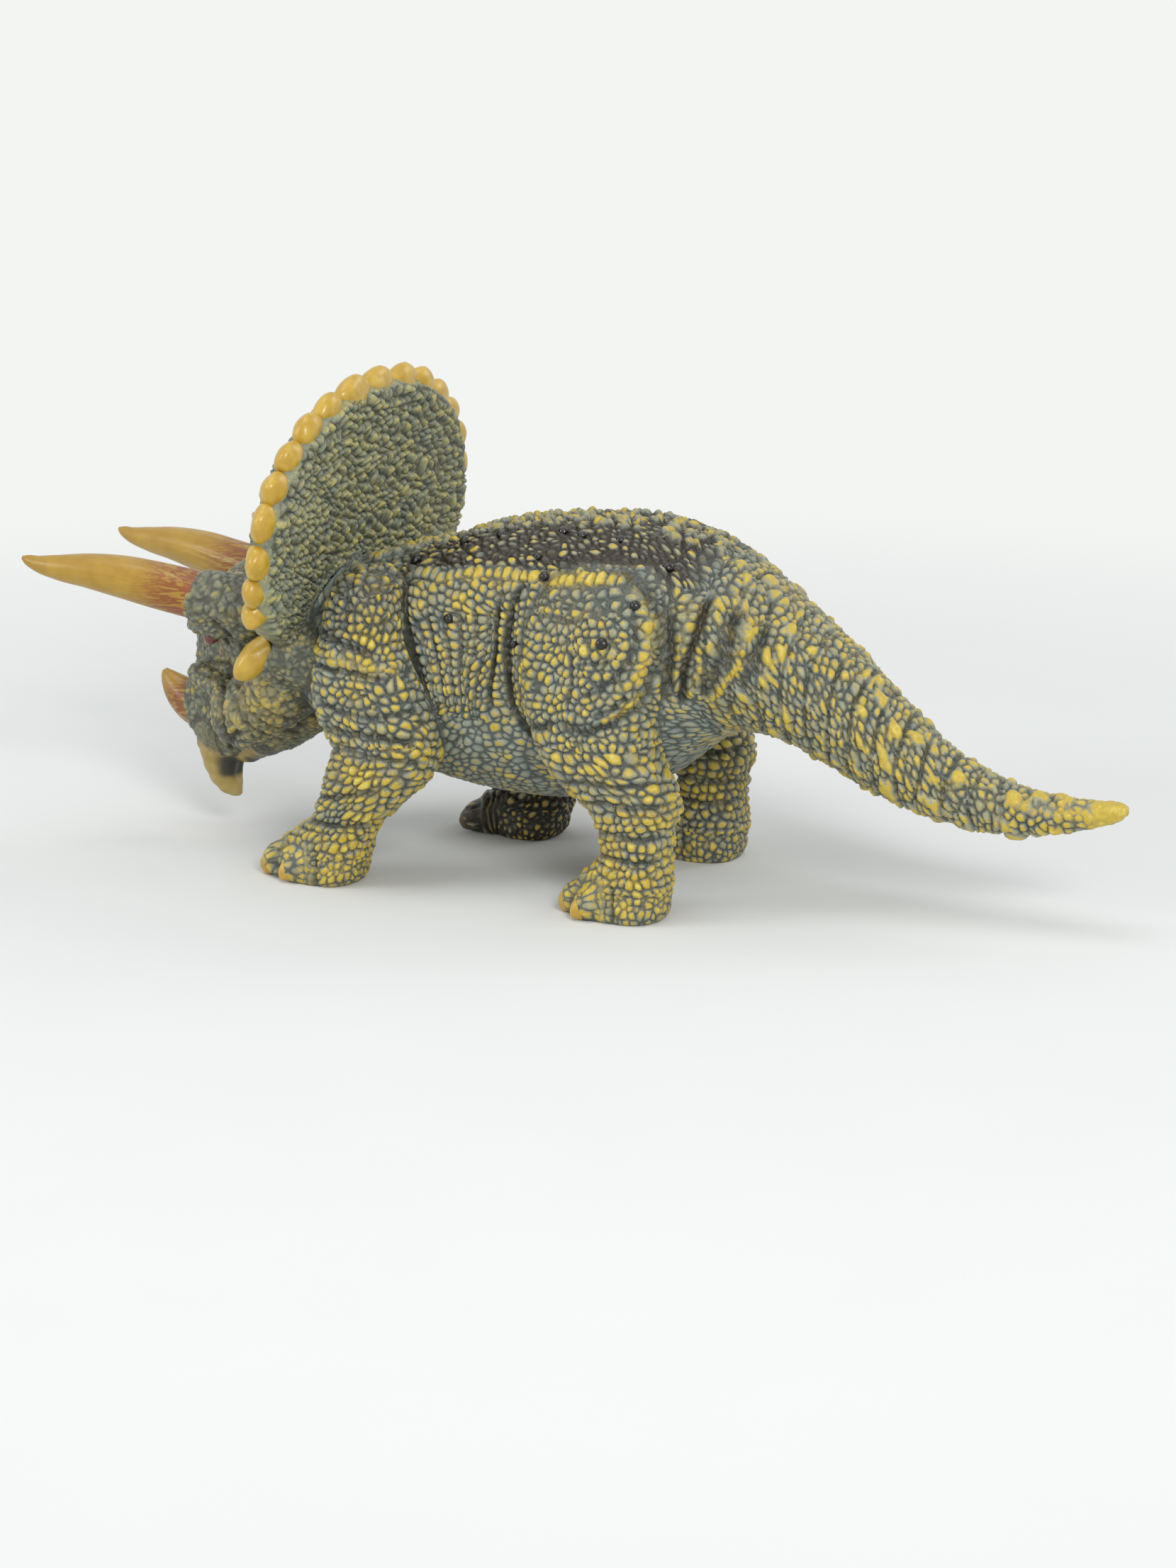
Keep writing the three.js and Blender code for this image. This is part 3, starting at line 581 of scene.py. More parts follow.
# Folds, and grooves with a height below 0: width, height, painted shade in the groove, gold, and a line of
# (x, z) drawn on the side
TRUNK_LINES = (
    (0.5, -0.6, 0.6, 0, ((-18.2, 40.6), (-17.3, 38.3), (-15.4, 32.7), (-14.1, 29.1), (-12.8, 25.5), (-12, 23),
        (-11.4, 19))),
    (0.5, 0.3, 0, 0, ((-16, 39.6), (-14.8, 36), (-13.4, 32.7), (-12.1, 28.6), (-11, 24.8))),
    (0.5, -0.7, 0.7, 0, ((0.2, 41.2), (-0.7, 38.3), (-1.2, 35.3), (-1.3, 32.4), (-1, 29.1), (-0.5, 25.8),
        (1.3, 22.6), (3, 20.5))),
    (0.35, -0.45, 0.5, 0, ((-2.6, 39.8), (-2.8, 35.8), (-2.8, 32.2), (-3.4, 28.8), (-3.6, 25))),
    (0.6, -0.6, 0.5, 0, ((12.5, 44.2), (16.5, 42.3), (18.6, 40.1), (19.9, 37.6), (20.3, 34.1), (20, 30.8),
        (19, 27.5))),
    (0.5, -0.75, 0.8, 0, ((25.4, 43.2), (24.4, 42.1), (23.9, 40.6), (23.4, 39), (23.1, 36.5), (22.4, 33.9),
        (21.7, 31.1), (21.2, 27))),
    (1.2, -0.6, 0.2, 0, ((26.9, 38.6), (26.7, 36.5), (26.2, 33.7), (25.2, 31), (23.7, 28.4))),
    (0.5, 0.5, 0, 0.3, ((28.5, 32.7), (27.2, 31.3), (26, 29.4), (24, 27.4))),
    (0.55, 0.45, 0, 0.25, ((23.8, 32.6), (22.9, 30.5), (22.2, 28))),
    (0.7, 0.35, 0, 0.1, ((21.6, 40.4), (21.6, 36.5), (21.2, 33))),
    (0.7, -0.45, 0.2, 0, ((31.8, 39), (30.5, 37.3), (30, 35), (29.3, 33.1), (28.6, 29))),
    (0.8, 0.4, 0, 0.1, ((28.4, 39.6), (28.3, 36), (27.8, 33.5))),
)
NECK_LINES = (
    (0.8, 0.45, 0, -0.1, ((-29.4, 40), (-31, 37.8), (-32, 33.2), (-32.6, 28.1), (-32.6, 24))),
    (0.6, 0.35, 0, 0, ((-28.8, 35), (-29.4, 30.5), (-29.4, 25), (-28.8, 20))),
)
LEG_LINES = {
    "front": (
        (0.5, -0.6, 0.4, 0, ((-27.4, 33.4), (-24, 32.6), (-20.6, 31.8), (-18.6, 31))),
        (0.7, 0.3, 0, 0.2, ((-27.8, 30.6), (-24, 30.2), (-19.5, 29.6), (-15.2, 28.8))),
        (0.4, -0.4, 0.3, 0, ((-28.2, 29.2), (-24.5, 28.8), (-20.5, 28.6), (-16.2, 27.9))),
        (0.4, -0.35, 0.3, 0, ((-23, 40), (-22.8, 38.6), (-22.2, 36.4), (-22.4, 33.8))),
        (0.4, -0.35, 0.3, 0, ((-26, 24.6), (-22.6, 23.8), (-19, 23.2), (-15, 23.6), (-12.6, 24.4))),
        (0.5, -0.45, 0.3, 0, ((-25.8, 21.2), (-22, 21.2), (-17, 20.8), (-12.6, 20.4))),
        (0.4, -0.3, 0.2, 0, ((-25, 18.4), (-21, 18.8), (-16.4, 18.2), (-11.6, 17.6))),
        (0.4, -0.35, 0.2, 0, ((-28, 11.4), (-24.5, 12), (-20.5, 13), (-17, 14))),
        (0.45, -0.4, 0.3, 0, ((-29.4, 7.8), (-26, 8.4), (-22.5, 8.6), (-19.4, 9))),
    ),
    "hind": (
        (0.6, -0.6, 0.3, 0, ((10.6, 43.8), (14, 43.4), (17.4, 41.4), (19, 38.4), (19.4, 35), (19, 31.8),
            (18.4, 29.4), (17.2, 27.4), (14.6, 25.4), (12, 24.4), (8, 24.9))),
        (0.6, 0.3, 0, 0.18, ((15.4, 42.2), (17.4, 40.2), (18.4, 38), (18.6, 35.2), (18.2, 33), (17.4, 31.4),
            (16, 29.8), (14.4, 28.4))),
        (0.4, -0.45, 0.2, 0, ((16.6, 38.8), (17.2, 36), (16.6, 33.2), (15, 31), (13, 29.4), (11, 28.6))),
        (0.5, 0.4, 0, 0.35, ((18.2, 29.6), (17, 27.9), (15.6, 26.6), (13.6, 25.7))),
        (0.35, -0.4, 0.2, 0, ((16.6, 28.9), (15, 27.4), (12.8, 26.4))),
        (0.3, -0.25, 0.2, 0, ((3.7, 37.3), (6, 37.9), (8.2, 37.6), (10.4, 37.7))),
        (0.3, -0.25, 0.2, 0, ((9.3, 34.3), (9.7, 32.1), (9.7, 29.8), (9.4, 27.2))),
        (0.3, -0.25, 0.2, 0, ((10.1, 32.5), (12.1, 32.8), (14.3, 33))),
        (0.5, -0.5, 0.3, 0, ((1.3, 23.2), (4.6, 24.3), (7.6, 24.8))),
        (0.4, -0.3, 0.2, 0, ((8, 17.6), (12, 18.4), (16.6, 17.8), (21.2, 18.4))),
        (0.4, -0.35, 0.2, 0, ((10.8, 15.4), (14, 15.8), (18, 15.2), (21.8, 15.6))),
        (0.4, -0.35, 0.2, 0, ((12.2, 11.2), (15, 11.7), (18.4, 11.3), (21.2, 11.5))),
        (0.4, -0.35, 0.2, 0, ((12, 8.2), (15, 8.6), (18.4, 8.1), (21, 8.6))),
    ),
}
HEAD_LINES = (
    (0.5, -0.8, 0.4, 0, ((-47.4, 24.6), (-46.6, 22.4), (-46.2, 19.6), (-45.7, 17.2), (-45.4, 15.4))),
    (0.5, -0.9, 0.7, 0, ((-43, 17.2), (-44.4, 15.8), (-45.6, 14.4), (-47, 13.2), (-48.8, 12.6))),
    (0.6, 0.3, 0, 0.1, ((-42, 19), (-43.6, 17.2), (-44.8, 16))),
    (0.3, -0.3, 0.2, 0, ((-43.6, 21.6), (-42.2, 18.6), (-40.2, 16.6), (-37.8, 15.6))),
    (0.3, -0.3, 0.2, 0, ((-42.4, 22.8), (-40.8, 19.8), (-38.6, 17.8), (-36.4, 17))),
    (0.3, -0.3, 0.2, 0, ((-41, 23.6), (-39.4, 21.4), (-37.4, 19.6), (-35, 18.6))),
    (0.28, -0.3, 0.3, 0, ((-52, 24.6), (-50.2, 24.2), (-48, 24.4), (-46.6, 25.4))),
    (0.28, -0.3, 0.3, 0, ((-52.2, 28.4), (-50, 29), (-48, 28.6), (-46.8, 27.4))),
    (0.28, -0.25, 0.3, 0, ((-52.6, 23.2), (-50.2, 22.8), (-47.8, 23))),
    (0.4, -0.5, 0.5, 0, ((-46.6, 31.6), (-45, 29.8), (-44.4, 27.2), (-44.8, 24.6))),
    (0.5, -0.6, 0.4, 0, ((-41.6, 27.4), (-42.6, 24.8), (-43.4, 22.6))),
)
# Columns of scales down the flank: height, then the places of the lines between them
FLANK = along([
    (21, -11.8, -11.3, -9.9, -8.6, -7.4, -6.4, -5.6, -4, 1.6),
    (25.5, -12.8, -11.7, -10.2, -8.9, -7.6, -6.6, -5.8, -4, -0.5),
    (29, -14.1, -12.3, -10.8, -9.3, -7.8, -6.8, -5.2, -3.4, -1),
    (32.4, -15.3, -13.2, -11.7, -9.8, -7.6, -5.9, -4, -2.8, -1.3),
    (35.5, -16.3, -15.1, -12.8, -10.8, -8, -5.9, -3.6, -2.8, -1.1),
    (39, -17.6, -16.8, -15.2, -12.1, -8.8, -6.2, -3.8, -2.6, 0),
    (42, -18.6, -17.8, -16, -12.8, -9.3, -6.4, -4, -2.6, 0.6),
])
FLANK_HEIGHTS = (21, 42)
# Height of the row of squarish scales where the back meets the flank
SHELF = along([(-19, 39.8), (-17.2, 40), (-12.3, 40.5), (-7, 41.4), (-1.8, 41.7), (4, 41.8), (10.5, 42.4),
    (14, 42.6), (20, 42)])


# The third field marks the dark brown wash of the back together with painted shade in grooves, creases, the
# ear, the shoulder and the far feet.
PAINT_FIELDS = ("relief", "gold", "wash_and_shade")


class Skin:
    """Vertices of the skin, with the height and paint of each as they are worked out."""

    def __init__(self, points, normals, label):
        self.p, self.n, self.label = points, normals, label
        self.height, self.wash_and_shade = np.zeros((2, len(points)))
        self.relief, self.gold = np.full((2, len(points)), 0.5)

    def of(self, *names):
        return np.isin(self.label, [LABELS.index(name) for name in names])

    def dress(self, work, *names):
        """Has a function give scales to the vertices of the named forms."""
        where = self.of(*names)
        part = Skin(self.p[where], self.n[where], self.label[where])
        work(part, *part.p.T)
        for field in ("height", *PAINT_FIELDS):
            getattr(self, field)[where] = getattr(part, field)

    def scale(self, pattern, tall, gold, wash_and_shade=0.0):
        """Lays a pattern of scales over the vertices, with its paint."""
        self.height = pattern * tall
        self.relief = pattern.copy()
        self.gold, self.wash_and_shade = (np.full(len(self.p), value) for value in (gold, wash_and_shade))

    def draw(self, x, y, z, weight, lines):
        """Adds drawn grooves with painted shade in them, and drawn folds that are broken up like the scales
        on them.
        """
        worn = np.clip(0.7 + 0.55 * drift(x, y, z, 1.1, 16), 0.15, 1)
        for width, tall, wash_and_shade, gold, knots in lines:
            hit = stroke(x, z, knots, width) * weight
            self.wash_and_shade = np.maximum(self.wash_and_shade, wash_and_shade * hit)
            self.gold += gold * hit
            if tall < 0:
                self.height += tall * hit
                self.relief *= 1 - 0.75 * hit
            else:
                self.height += tall * hit * worn
                self.relief = mix(self.relief, worn, 0.6 * hit)


def on_shelf(z, x):
    """How far a place is above the shelf row, and 1 on that row."""
    above = z - SHELF(x)[0]
    return above + 0.75, fall(0.7, 0.95, np.abs(above))


def scale_body(part, x, y, z):
    """Back, shelf row, flanks, belly, neck and tail."""
    top, bottom, side = SPINE(x)[:3]
    middle, half = (top + bottom) / 2, (top - bottom) / 2
    angle = np.arctan2(y / side, (z - middle) / half)
    turn = np.degrees(np.abs(angle))  # 0 on top, 180 underneath
    across = angle * (side + half) / 2
    places = np.linspace(NECK_START, TAIL_TIP, FINE)
    rise = np.gradient(sum(SPINE(places)[:2]) / 2, places)
    path = np.concatenate([[0], np.cumsum(np.hypot(1, rise)[1:] * np.diff(places))])
    down = np.interp(x, places, path)
    sway_u, sway_v = (drift(x, y, z, 3.5, seed) * 0.55 for seed in (3, 4))
    u, v = down + sway_u, across + sway_v

    # Where each region lies
    shelf_u, on_row = on_shelf(z, x)
    on_row = on_row * band(-19, -16, 15, 19, x) * ease(6, 9, np.abs(y))
    tailward = ease(21, 25, x)
    neckward = fall(-26, -21, x)
    on_top = fall(44, 50, turn)
    under = ease(100, 114, turn)
    on_side = band(-17.5, -15.5, -1.5, 0.5, x) * band(58, 66, 100, 112, turn)
    near_tip = ease(58, 66, x)
    keel = near_tip * peak(turn - 60, 24)

    # Columns of scales with wrinkles between them, knobs, rings round the tail, crest scales
    lines = FLANK(np.clip(z, *FLANK_HEIGHTS))
    column = sum(np.clip((x - a) / (b - a), 0, 1) for a, b in zip(lines, lines[1:]))
    flank_u = mix(x, column * 1.9 - 17, on_side)
    wrinkle = peak(column - np.round(column), 0.15) * on_side
    away, own = cells(u, v, *SCALES["knobs"])[1:3]
    knob = dome(away, 0.32) * (own > 0.5)
    ring = peak(((down * 0.3 + 0.25 * drift(x, y, z, 5, 5)) % 1) - 0.5, 0.08)
    ring = ring * tailward * (1 - near_tip)
    crown = dome(cells(u, v, *SCALES["crest"])[1], 0.42) * fall(14, 30, turn) * (1 - tailward)

    flank = row_of("flank", flank_u + 0.3 * sway_u, z + sway_v)
    back = row_of("back", u + 0.4 * v, v, vary=0.45)
    pattern = np.where(under > 0.5, row_of("belly", u, v), np.where(on_top > 0.5, back, flank))
    pattern = mix(pattern, row_of("shelf", shelf_u, x + sway_u), on_row)
    neck = row_of("neck", x + 2 * sway_u, z + 2 * sway_v)
    tail = np.maximum(row_of("tail", u, v) * 0.9, knob)
    pattern = np.where(tailward > 0.5, tail, np.where(neckward > 0.5, neck, pattern))

    tall, gold = toward(REGIONS["flank"], ("back", on_top), ("belly", under))
    # Just behind the shoulder the gold is dimmed, as part of the painted shade there.
    gold = gold + 0.25 * drift(x, y, z, 3, 6) * under - 0.2 * on_side * fall(-16, -10, x)
    tall, gold = toward((tall, gold), ("tail", tailward), ("neck", neckward))
    # The back gets a dark brown wash; the flank just behind the shoulder gets painted shade.
    wash_and_shade = on_top * fall(18, 26, x) * ease(-24, -18, x) + 0.3 * on_side * fall(-15, -11, x)
    part.scale(pattern, tall, gold, wash_and_shade * (1 - tailward) * (1 - on_row))

    part.height += 0.25 * on_row - 0.5 * wrinkle + 0.8 * crown
    part.height += 0.3 * tailward * knob - 0.4 * ring + 0.15 * keel
    part.height *= 1 - 0.75 * ease(66, 72, x)
    part.relief *= (1 - 0.7 * wrinkle) * (1 - 0.7 * ring)
    part.relief = mix(part.relief, 0.8, np.maximum(ease(69, 72, x), 0.7 * keel))
    part.relief = np.maximum(part.relief, 0.9 * crown)
    part.gold += 0.15 * on_row + 0.12 * crown + 0.15 * ease(64, 70, x)
    part.wash_and_shade *= 1 - 0.8 * ease(0.4, 0.8, crown)
    sideways = np.abs(part.n[:, 1])
    part.draw(x, y, z, ease(0.2, 0.5, sideways) * ease(38, 50, turn), TRUNK_LINES)
    part.draw(x, y, z, ease(0.1, 0.4, sideways), NECK_LINES)


# Scales round a leg: how many above and below the knee
ROUND_HIND, ROUND_FRONT, ROUND_LOW = 42, 34, 25
FOOT_TOP = 4.2
RIB_STEP = 1.05


def scale_leg(name, part, *p):
    rows, height, stride, side, toes, ankle = LEGS[name]
    x, y, z = unstride(name, p)
    front, rear, out, half = rows(np.clip(z, 0, height))
    turn = np.arctan2(y + out, x - (front + rear) / 2) / (2 * math.pi)
    hind = name.startswith("hind")
    many, knee = (ROUND_HIND, 22.0) if hind else (ROUND_FRONT, 19.5)
    sway = drift(x, y, z, 3.2, 7) * 0.6
    swing = drift(x, y, z, 3.2, 17) * 0.45
    upper = row_of("thigh", z + sway, turn * many + swing, around=many)
    lower = row_of("shin", z + sway * 0.7, turn * ROUND_LOW + swing, around=ROUND_LOW)
    foot = row_of("foot", z + sway, turn * ROUND_FRONT + swing, around=ROUND_FRONT)
    shoulder = bead(*lumps((x + sway, y + swing, z), 1.25, 95))
    upper = np.where(part.n[:, 2] > 0.45, shoulder, upper)
    pattern = np.where(z > knee, upper, np.where(z > FOOT_TOP, lower, foot))
    shelf_u, on_row = on_shelf(z, x)
    on_row = on_row * band(0, 2, 14, 17, x)
    pattern = mix(pattern, row_of("shelf", shelf_u, x + swing), on_row)
    tall, gold = toward(REGIONS["foot"], ("shin", ease(2.5, 5, z)))
    thigh_tall, thigh_gold = REGIONS["hind_thigh" if hind else "front_thigh"]
    tall = mix(tall, thigh_tall, ease(knee - 2, knee + 2, z))
    gold = mix(gold, thigh_gold, ease(knee - 4, knee + 3, z)) + 0.2 * on_row
    gold = gold + 0.14 * drift(x, y, z, 5, 8)
    wash_and_shade = np.zeros_like(z)
    # Painted shade on the top of the front leg, at the shoulder.
    if not hind:
        wash_and_shade = 0.3 * ease(30, 34, z)
        gold = gold + 0.03 * ease(30, 34, z)
    if side > 0:
        # The right feet, on the far side, get painted shade, the front one most
        low = fall(9, 15, z)
        dark, dull = (0.2, 0.1) if hind else (1.0, 0.2)
        wash_and_shade = np.maximum(wash_and_shade, dark * low)
        gold = gold - dull * low
    part.scale(pattern, tall, gold, wash_and_shade)

    # Ribs across each toe, a cleft between two toes and bare skin under the nails
    def toes_near():
        for (tx, ty, tz), radius in toes:
            reach = unit((tx - ankle[0], ankle[1] - ty))
            back = (tx - x) * reach[0] + (-ty - y) * reach[1]
            off = np.abs((tx - x) * reach[1] - (-ty - y) * reach[0])
            yield off / radius + 2.0 * (back < -radius * 1.6), back, off

    apart, near, behind, beside = closest(toes_near())
    low = fall(4.6, 6.2, z)
    cleft = peak(apart, 0.28) * fall(3.0, 4.6, behind) * low
    low = low * fall(1.2, 1.6, near)
    on_toe = low * band(0.2, 0.9, 4.2, 6.0, behind)
    bent = behind + 0.5 * sway + 0.5 * drift(x, y, z, 1.3, 18) + 0.08 * beside**2
    ribs = np.sqrt(0.5 + 0.5 * np.cos(bent * 2 * math.pi / RIB_STEP))
    ribs = ribs * (0.75 + 0.4 * drift(x, y, z, 0.9, 19))
    part.height = mix(part.height, 0.05 + 0.55 * ribs, on_toe)
    part.height *= 1 - low * fall(0.2, 0.9, behind)
    part.height -= 0.6 * cleft
    part.relief = mix(part.relief, 0.15 + 0.85 * ribs, on_toe) * (1 - 0.7 * cleft)
    if side < 0:
        part.gold += 0.1 * on_toe
    part.draw(x, y, z, ease(0.1, 0.5, np.abs(part.n[:, 1])), LEG_LINES[name.split("_")[0]])


def scale_head(part, x, y, z):
    warp = [value + 0.4 * drift(x, y, z, 2.0, 9 + i) for i, value in enumerate((x, y, z))]
    small, large = bead(*lumps(warp, 0.95, 101)), bead(*lumps(warp, 1.3, 111))
    crown = ease(30.5, 33, z) * ease(-51.5, -49, x)
    cheek = peak(x + 40.5, 6.0) * peak(z - 20.5, 6)
    crinkle = 1 - np.abs(drift(x * 0.8 + z * 0.5, y, z * 2.0 - x, 1.4, 12))
    pattern = np.where(np.maximum(crown, cheek) > 0.5, large, small)
    pattern = mix(pattern, crinkle**2, 0.42)
    tall, gold = toward(REGIONS["face"], ("crown", crown), ("cheek", cheek))
    part.scale(pattern, tall, gold + 0.1 * drift(x, y, z, 3, 15), 0.1 * crown)
    # Painted shade in the ear hole.
    ear = peak(x + 38.0, 2.2) * peak(np.abs(y) - 13.6, 3) * peak(z - 30.4, 1.3)
    part.wash_and_shade = np.maximum(part.wash_and_shade, ear)
    part.draw(x, y, z, ease(0.1, 0.4, np.abs(part.n[:, 1])), HEAD_LINES)


FLAKE_ORIGIN = 24.0  # how far below the plate's middle its rays of flakes meet
FLAKE_TURN = 34  # how far out from there a flake has its full width


def scale_frill(part, x, y, z):
    """Flakes in rays over the plate, bigger folds at its foot and a bare border."""
    across, up = frill_plane(x, y, z)[1:]
    below = up + FLAKE_ORIGIN
    turn = np.arctan2(across, below) * FLAKE_TURN
    out = np.hypot(across, below)
    sway, swing = (drift(x, y, z, 3, seed) * 0.7 for seed in (13, 23))
    edge, away, own, lean = cells(turn + sway, out + swing, *SCALES["frill"], vary=0.4)
    flake = bead(edge, away, own, 0.12) * np.clip(0.62 + 0.8 * lean, 0.15, 1.1)
    fold = row_of("frill_foot", turn * 1.5 + sway, out + swing)
    foot = fall(0.40, 0.62, np.hypot(across / 24, (up + 14) / 22))
    border = ease(0.955, 0.985, frill_rim(across, up))
    pattern = np.where(foot > 0.5, fold, flake)
    pattern = mix(pattern, 0.55 + 0.25 * drift(x, y, z, 1.4, 24), 0.8 * border)
    part.scale(pattern, *toward(REGIONS["frill"], ("frill_foot", foot), ("frill_border", border)))
    part.draw(x, y, z, ease(-0.2, 0.3, part.n[:, 0]), NECK_LINES[:1])


def label_vertices(p):
    """The form that each vertex belongs to, and how much nearer it is than the next form."""
    near = np.full((len(LABELS), len(p)), FAR)
    for label, low, high, form, fillet in FORMS:
        inside = np.all((p > np.array(low) - REACH) & (p < np.array(high) + REACH), axis=1)
        near[LABELS.index(label), inside] = form(p[inside].T)
    order = np.sort(np.delete(near, LABELS.index("tail"), 0), axis=0)
    label = near.argmin(0)
    label[(label == LABELS.index("trunk")) & (p[:, 0] > TAIL_ROOT)] = LABELS.index("tail")
    return label, order[1] - order[0]


def finish_skin(points, normals):
    """The skin with its scales, folds and paint."""
    label, gap = label_vertices(points)
    skin = Skin(points, normals, label)
    skin.dress(scale_body, "trunk", "tail")
    for name in LEGS:
        skin.dress(partial(scale_leg, name), name)
    skin.dress(scale_head, "head", "lower_jaw", "beak", "jaw_tip")
    skin.dress(scale_frill, "frill")
    crease = fall(0.1, 0.9, gap)
    rough = 0.05 * drift(*points.T, 0.6, 26) + 0.035 * drift(*points.T, 0.34, 27)

    # The beak is smooth, and bare of the face's colour below a ragged edge
    smooth = skin.of("beak", "jaw_tip")
    x, y, z = points[smooth].T
    bare = fall(11.6, 12.8, z + 0.9 * drift(x, y, z, 1.3, 28))
    skin.relief[smooth] = ease(-0.1, 0.5, normals[smooth][:, 0]) * fall(11.2, 12.4, z) * ease(7.4, 8.4, z)
    skin.gold[smooth] = bare
    skin.wash_and_shade[smooth] = 0
    skin.height[smooth] = mix(skin.height[smooth], 0.05 * drift(x, y, z, 1.2, 14), bare)
    crease[smooth] = 0
    rough[smooth] *= 0.3

    skin.height = skin.height * (1 - 0.5 * crease) * (1 - 0.7 * fall(0.05, 0.3, gap)) + rough
    skin.height *= ease(0, 0.8, points[:, 2])
    skin.relief *= 1 - 0.5 * crease
    # Painted shade where two forms meet.
    skin.wash_and_shade = np.maximum(skin.wash_and_shade, 0.3 * crease)
    return skin


CAP_DEPTH = 0.6  # how far the inside of a piece's open rim is sunk before it is closed


def rim_loops(border):
    """The loops of vertices that run along the open edges."""
    follow = {}
    for a, b in border:
        follow.setdefault(int(a), []).append(int(b))
    while follow:
        start = next(iter(follow))
        loop, here = [start], start
        while here in follow:
            after = follow[here].pop()
            if not follow[here]:
                del follow[here]
            if after == start:
                break
            loop.append(after)
            here = after
        yield loop


def with_numbers(made, fields):
    """Gives an object its vertex attributes and smooth shading."""
    made.data.shade_smooth()
    for field, numbers in fields:
        attribute = made.data.attributes.new(field, "FLOAT", "POINT")
        attribute.data.foreach_set("value", np.asarray(numbers, np.float32))
    return made


def cut_out(name, data, chosen, skin):
    """A closed piece from some of the skin's faces, with the whole skin's normals."""
    used, index = np.unique(faces_of(data)[chosen], return_inverse=True)
    faces = index.reshape(-1, 4)
    points, normals = place_of(data)[used], read(data, "normal")[used]
    edges = np.concatenate([faces[:, [k, (k + 1) % 4]] for k in range(4)])
    count = len(used)
    keys, twins = (edges.astype(np.int64) @ pair for pair in ((count, 1), (1, count)))
    caps, extra, extra_normals = [], [], []
    for loop in rim_loops(edges[~np.isin(keys, twins)]):
        first, many = count + len(extra), len(loop)
        ring = points[loop] - normals[loop] * CAP_DEPTH * MM
        extra += [*ring, ring.mean(0)]
        extra_normals += [*normals[loop], (0, 0, 1)]
        for k, a in enumerate(loop):
            after = (k + 1) % many
            caps += [(loop[after], a, first + k, first + after), (first + after, first + k, first + many)]
    points = np.concatenate([points, np.array(extra).reshape(-1, 3)])
    made = mesh_object(name, points, [*faces.tolist(), *caps])
    blank = np.zeros(len(extra))
    with_numbers(made, [(field, np.append(getattr(skin, field)[used], blank)) for field in PAINT_FIELDS])
    normals = np.concatenate([normals, np.array(extra_normals).reshape(-1, 3)])
    made.data.normals_split_custom_set_from_vertices(normals.tolist())
    return made


# Horns, studs, nails and eyes

def loft(rings, values=None):
    """Corner points and faces of a closed form skinned over rings of points."""
    rings = np.asarray(rings, float)
    rows, count = rings.shape[:2]
    points = rings.reshape(-1, 3).tolist()
    i = np.arange(count)
    after = (i + 1) % count
    faces = []
    for row in range(rows - 1):
        low, high = row * count, (row + 1) * count
        faces += np.stack([low + i, low + after, high + after, high + i], 1).tolist()
    for row in (0, rows - 1):
        points.append(rings[row].mean(0).tolist())
        middle = len(points) - 1
        pair = (after, i) if row == 0 else (i, after)
        faces += [[row * count + int(a), row * count + int(b), middle] for a, b in zip(*pair)]
    return points, faces


def gathered(name, forms, fields=()):
    """One object from several lofted forms; fields are (attribute, one number per point)."""
    points, faces = [], []
    for form_points, form_faces in forms:
        faces += [[k + len(points) for k in face] for face in form_faces]
        points += form_points
    return with_numbers(mesh_object(name, points, faces), fields)


def unit(direction):
    direction = np.array(direction, float)
    return direction / np.linalg.norm(direction)


def frame_along(direction):
    """A direction and two more that are square to it."""
    direction = unit(direction)
    aside = np.cross(direction, (0, 0, 1))
    if np.linalg.norm(aside) < 0.1:
        aside = np.cross(direction, (0, 1, 0))
    aside = unit(aside)
    return direction, aside, np.cross(aside, direction)


def turns_round(count):
    """Cosines and sines of the corners of a ring."""
    turns = np.arange(count) / count * 2 * math.pi
    return np.cos(turns), np.sin(turns)


# Middle line and radius of each horn: share of its length, then x, out, z and radius
BROW_HORN = along([
    (0, -44.5, 8, 32.9, 3.2), (0.13, -48.7, 8.6, 33.8, 3.25), (0.22, -51.5, 9.05, 34.35, 3.2),
    (0.37, -55.9, 9.7, 35.15, 3.1), (0.53, -60.6, 10.5, 36, 2.85), (0.68, -65.4, 11.3, 36.55, 2.32),
    (0.83, -69.9, 11.9, 36.75, 1.68), (0.93, -73, 12.2, 37.1, 1.05), (0.98, -74.5, 12.35, 37.55, 0.6),
    (1, -75.05, 12.4, 37.75, 0.25),
])
NOSE_HORN = along([
    (0, -53.4, 0, 16.6, 3), (0.3, -56.2, 0, 17.4, 2.95), (0.52, -58.2, 0, 18.6, 2.4),
    (0.72, -59.6, 0, 19.9, 1.65), (0.88, -60.4, 0, 20.9, 0.95), (1, -60.75, 0, 21.5, 0.4),
])
HORN_RINGS, HORN_SIDES = 150, 96
HORN_RIDGES = 0.07  # height of the lengthwise lines at the root


def horn(name, rows, side, flatten, seed):
    shares = np.linspace(0, 1, HORN_RINGS) ** 0.9
    *middles, radii = rows(shares)
    middles = np.stack(middles, 1)
    middles[:, 1] *= side
    cos, sin = turns_round(HORN_SIDES)
    rings = []
    for share, middle, radius, slope in zip(shares, middles, radii, np.gradient(middles, axis=0)):
        aside, above = frame_along(slope)[1:]
        lines = drift(cos * 4, sin * 4, np.full(HORN_SIDES, share * 1.2), 0.42, seed)
        lines += 0.6 * drift(cos * 4, sin * 4, np.full(HORN_SIDES, share * 2.2), 0.2, seed + 1)
        fade = fall(0.25, 0.75, share) * ease(0, 0.1, share) + 0.15
        size = radius + HORN_RIDGES * lines * fade * ease(0.5, 1.5, radius)
        rings.append(middle + np.outer(cos * size * flatten, aside) + np.outer(sin * size, above))
    shares = [*np.repeat(shares, HORN_SIDES), 0, 1]
    return gathered(name, [loft(rings)], [("along", shares)])


